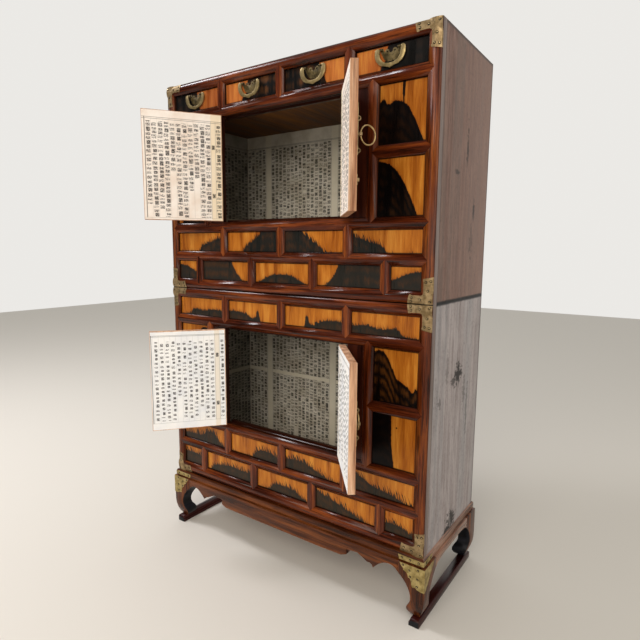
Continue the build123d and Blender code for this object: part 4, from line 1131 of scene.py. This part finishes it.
def dab_rows(tree, v, number, chance, dab_mm):
    """How far v is from the middle of its row, and the luck of its dab, from -0.5 to 0.5.

    The rows start at another height in each column and sway a little.
    """
    down = add(tree, "Math", (number, 0.37), operation="MULTIPLY")
    down = add(tree, "CombineXYZ", {"X": down, "Y": v})
    sway = add(tree, "TexNoise", (down, 1 / (30 * MM), 1.0, 0.5))
    row = add(tree, "Math", (v, dab_mm * MM), operation="DIVIDE")
    row = add(tree, "Math", (sway, 1.6, row), operation="MULTIPLY_ADD")
    row = add(tree, "Math", (chance, 7.3, row), operation="MULTIPLY_ADD")
    cell = add(tree, "Math", (row,), operation="FLOOR")
    cell = add(tree, "CombineXYZ", {"X": number, "Y": cell})
    luck = add(tree, "TexWhiteNoise", (cell,), noise_dimensions="2D")
    luck = add(tree, "Math", (luck, 0.5), operation="SUBTRACT")
    return apart(tree, add(tree, "Math", (row,), operation="FRACT"), 0.5), luck


# %% Paper material
def printed_paper(name, colours, fold, text, lines, tint, marks=(), joins=(), period=1000.0,
                  pitch=16.2, short=0.6, border=900.0, dab_mm=11.8, gaps=0.44, half=0.37):
    """Printed paper on a map in metres.

    fold and tint are strips across, text the lowest and highest dab, lines the heights of ruled
    lines, marks heights of dark spots in the fold, joins bare strips up the sheet, and border a last
    upright line, all in millimetres. short is the share of columns that are printed to their end,
    gaps is how much the ink of a dab breaks up, and half its half width as a share of the column.
    """
    material, tree = new_material(name)
    ground, shade, cream, ink = colours
    spot = add(tree, "UVMap", uv_map="page")
    mottle, fleck, blot = (add(tree, "TexNoise", (spot, 1 / (size * MM), detail, roughness))
                           for size, detail, roughness in PAPER_NOISES)
    u, v, _ = add(tree, "SeparateXYZ", (spot,)).node.outputs
    u = add(tree, "Math", (u, period * MM), operation="FLOORED_MODULO")
    number, from_middle = columns(tree, u, fold, pitch)
    chance = add(tree, "TexWhiteNoise", (number,), noise_dimensions="1D")
    off_row, luck = dab_rows(tree, v, number, chance, dab_mm)
    # one dab: its width, its height, and where the ink breaks up
    off_dab = add(tree, "Math", (luck, 0.16, from_middle), operation="MULTIPLY_ADD")
    off_dab = add(tree, "Math", (off_dab,), operation="ABSOLUTE")
    off_dab = add(tree, "Math", (luck, 0.12, off_dab), operation="MULTIPLY_ADD")
    off_row = add(tree, "Math", (luck, -0.14, off_row), operation="MULTIPLY_ADD")
    wide = add(tree, "MapRange", (off_dab, half + 0.06, half - 0.06))
    high = add(tree, "MapRange", (off_row, half + 0.05, half - 0.08))
    inked = add(tree, "Math", (luck, 0.12, blot), operation="MULTIPLY_ADD")
    inked = add(tree, "MapRange", (inked, gaps, gaps + 0.06, 0.0, 0.95))
    # where dabs are left out: below a column's end, outside the text, in the fold and the joins
    earliest = 0.4 * text[0] + 0.6 * text[1]
    end = add(tree, "MapRange", (chance, short, 1.0, text[0] * MM, earliest * MM))
    printed = add(tree, "Math", (v, end), operation="GREATER_THAN")
    bare = most(tree, within(tree, u, *fold), [within(tree, v, *join) for join in joins])
    unbroken = add(tree, "Math", (1.0, bare), operation="SUBTRACT")
    before_border = add(tree, "Math", (u, (border - 2) * MM), operation="LESS_THAN")
    dab = limited(tree, wide, (high, printed, within(tree, v, *text), unbroken, before_border, inked))
    blotted = add(tree, "MapRange", (blot, 0.38, 0.46))
    in_fold = within(tree, u, fold[0] + 2.5, fold[1] - 2.5)
    dab = most(tree, dab, [limited(tree, within(tree, v, height - 6, height + 6), (in_fold, blotted))
                           for height in marks])
    # ruled lines, drawn about twice as wide as they are so that they show
    off_middle = add(tree, "Math", (from_middle,), operation="ABSOLUTE")
    ruled = limited(tree, add(tree, "MapRange", (off_middle, 0.455, 0.49, 0.0, 0.28)), (unbroken,))
    across = [within(tree, v, height - 0.5, height + 0.5, 0.4) for height in lines]
    upright = [limited(tree, within(tree, u, edge - 0.5, edge + 0.5, 0.4), (0.6,)) for edge in fold]
    upright.append(within(tree, u, border - 1.0, border + 1.0))
    ruled = limited(tree, most(tree, ruled, across + upright),
                    (within(tree, v, min(lines), max(lines) + 1),))
    # from the ground up: clouds, the strip of old paste, specks, lines and ink
    colour = stained(tree, ground, mottle, 0.4, 0.62, 0.8, shade)
    pasted = most(tree, within(tree, u, *tint, 1.5), (bare,))
    colour = stained(tree, colour, pasted, 0.0, 1.0, 0.75, cream)
    colour = stained(tree, colour, fleck, 0.55, 0.75, 0.25, shade)
    colour = stained(tree, colour, ruled, 0.0, 1.0, 0.85, ink)
    colour = add(tree, "Mix", (dab, colour, ink), data_type="RGBA")
    finished(tree, colour, 0.75, fleck, 0.05)
    return material


PINK_PAPER = ("f8efe6", "ebdacb", "f0ddbb", "241e1c")
BLUE_PAPER = ("fbfaf8", "ebedf1", "f2e6d2", "232020")
OLD_PAPER = ("d6cfbf", "b1a793", "dbd3bd", "14120f")
# grey paper for the left wall, as painted shade
SHADE_GREY_PAPER = ("918c80", "6f6a5e", "98927f", "100f0c")
DOOR_FOLD = (17, 30)
door_papers = {
    "upper": printed_paper("printed_page_upper_doors", PINK_PAPER, DOOR_FOLD, (7, 266), (5, 272, 276),
                           (-5, 30), marks=(70, 205), border=209),
    "lower": printed_paper("printed_page_lower_doors", BLUE_PAPER, DOOR_FOLD, (26, 268), (20, 283, 286),
                           (16, 31), marks=(72, 222), short=0.85, border=213, dab_mm=13.0, gaps=0.42,
                           half=0.27),
}
PAGES = dict(period=283.0, pitch=17.2, dab_mm=12.4)      # pages pasted side by side on the walls
PAGE_FOLD, PAGE_TINT = (89, 114), (88, 115)
wall_papers = {}
for kind, colours in (("walls", OLD_PAPER), ("dark_wall", SHADE_GREY_PAPER)):
    wall_papers["upper", kind] = printed_paper(
        "printed_page_upper_" + kind, colours, PAGE_FOLD, (4, 462), (2, 466, 469), PAGE_TINT,
        joins=((205, 216),), short=0.8, **PAGES)
    wall_papers["lower", kind] = printed_paper(
        "printed_page_lower_" + kind, colours, PAGE_FOLD, (4, 594), (2, 597), PAGE_TINT,
        joins=((277, 290),), short=0.9, **PAGES)
print("papers:", len(door_papers) + len(wall_papers))

# %% [markdown]
# ## Lining sheets
#
# Each lining is a thin sheet a fraction of a millimetre thick that lies on the wood. It could be a
# stretched cube, but then its rim would be as straight as a ruler. So it starts as a net, its rim
# is worn back a little at each point, and it is thickened last. A map in metres is laid on it for
# the print, so that dabs and columns keep their size on every sheet.

# %% Lining sheets
PAPER = 0.3 * MM
NET, WEAR = 24 * MM, 0.8 * MM              # net of a sheet, and how far its rim is worn back
luck = random.Random(11)
DOOR_INNER = -155.5 * MM                   # depth of the inner face of a closed door
SHEET_INNER, SHEET_OUTER = 1.5 * MM, 217.5 * MM        # x of the two ends of a door's sheet
ROOM_SIDE, ROOM_FRONT, ROOM_BACK = 432 * MM, -154.5 * MM, 166.5 * MM
ROOMS = {"upper": (825 * MM, 1334.5 * MM), "lower": (198 * MM, 797 * MM)}


def lay_print(sheet, start, way=1):
    """A map in metres from the corner start: across the sheet, and up or, on a floor, back."""
    layer = sheet.data.uv_layers.new(name="page")
    for polygon in sheet.data.polygons:
        for loop in polygon.loop_indices:
            point = sheet.data.vertices[sheet.data.loops[loop].vertex_index].co - start
            if abs(polygon.normal.z) > 0.7:
                layer.data[loop].uv = (point.x * way, point.y)
            elif abs(polygon.normal.x) > 0.7:
                layer.data[loop].uv = (point.y, point.z)
            else:
                layer.data[loop].uv = (point.x * way, point.z)


def worn(place):
    """How far the rim is worn back at a point of the net, -0.5 to 0.5 across; 0 inside the net."""
    return WEAR * luck.random() * math.copysign(1, place) if abs(place) > 0.499 else 0.0


def sheet_between(low, high):
    """A thin closed sheet in the box low..high: a net, its rim worn a little, then thickened."""
    size = high - low
    thin = min(range(3), key=lambda axis: size[axis])
    across, up = (thin + 1) % 3, (thin + 2) % 3
    bpy.ops.object.select_all(action="DESELECT")
    bpy.ops.mesh.primitive_grid_add(x_subdivisions=max(2, round(size[across] / NET)),
                                    y_subdivisions=max(2, round(size[up] / NET)), size=1)
    piece = bpy.context.object
    for vertex in piece.data.vertices:
        x, y = vertex.co.x, vertex.co.y
        point = low.copy()
        point[across] += (x + 0.5) * size[across] - worn(x)
        point[up] += (y + 0.5) * size[up] - worn(y)
        vertex.co = point
    thick = piece.modifiers.new("thickness", "SOLIDIFY")
    thick.thickness, thick.offset = size[thin], 1.0
    bpy.ops.object.modifier_apply(modifier="thickness")
    return piece


for tier, (floor_z, ceiling_z) in ROOMS.items():
    for hand, sign in (("left", -1), ("right", 1)):
        body = f"{tier}_{hand}_door"
        low_z, high_z = (corner.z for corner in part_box(body + "_frame"))
        xs = sorted([sign * SHEET_INNER, sign * SHEET_OUTER])
        sheet = sheet_between(Vector((xs[0], DOOR_INNER, low_z + MM)),
                              Vector((xs[1], DOOR_INNER + PAPER, high_z - MM)))
        lay_print(sheet, Vector((sign * SHEET_OUTER, DOOR_INNER, low_z + MM)), -sign)
        sheet.data.transform(door_turn(body))
        finish_piece(sheet, body + "_paper", body, "door_wood", door_papers[tier])
    linings = {
        "back": ((-ROOM_SIDE, ROOM_BACK - PAPER, floor_z), (ROOM_SIDE, ROOM_BACK, ceiling_z)),
        "left": ((-ROOM_SIDE, ROOM_FRONT, floor_z), (-ROOM_SIDE + PAPER, ROOM_BACK - PAPER, ceiling_z)),
        "right": ((ROOM_SIDE - PAPER, ROOM_FRONT, floor_z), (ROOM_SIDE, ROOM_BACK - PAPER, ceiling_z)),
        "floor": ((-ROOM_SIDE + PAPER, ROOM_FRONT, floor_z),
                  (ROOM_SIDE - PAPER, ROOM_BACK - PAPER, floor_z + PAPER)),
    }
    back = f"{tier}_back_boards"
    for side, (low, high) in linings.items():
        sheet = sheet_between(Vector(low), Vector(high))
        lay_print(sheet, Vector(low))
        # the left wall takes the grey paper, as painted shade
        finish_piece(sheet, f"{tier}_{side}_lining", nodes[back]["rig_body"], slot_of[back],
                     wall_papers[tier, "dark_wall" if side == "left" else "walls"])
print("papers laid")

# %% [markdown]
# ## Size and finish
#
# The papers and nails lie on the wood and the brass, so the dressed chest fills the same box as the
# drawing. Both boxes are put side by side.

# %% Size and finish
low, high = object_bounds()
sizes = {"drawing": [list(drawing_low), list(drawing_high)], "scene": [list(low), list(high)]}
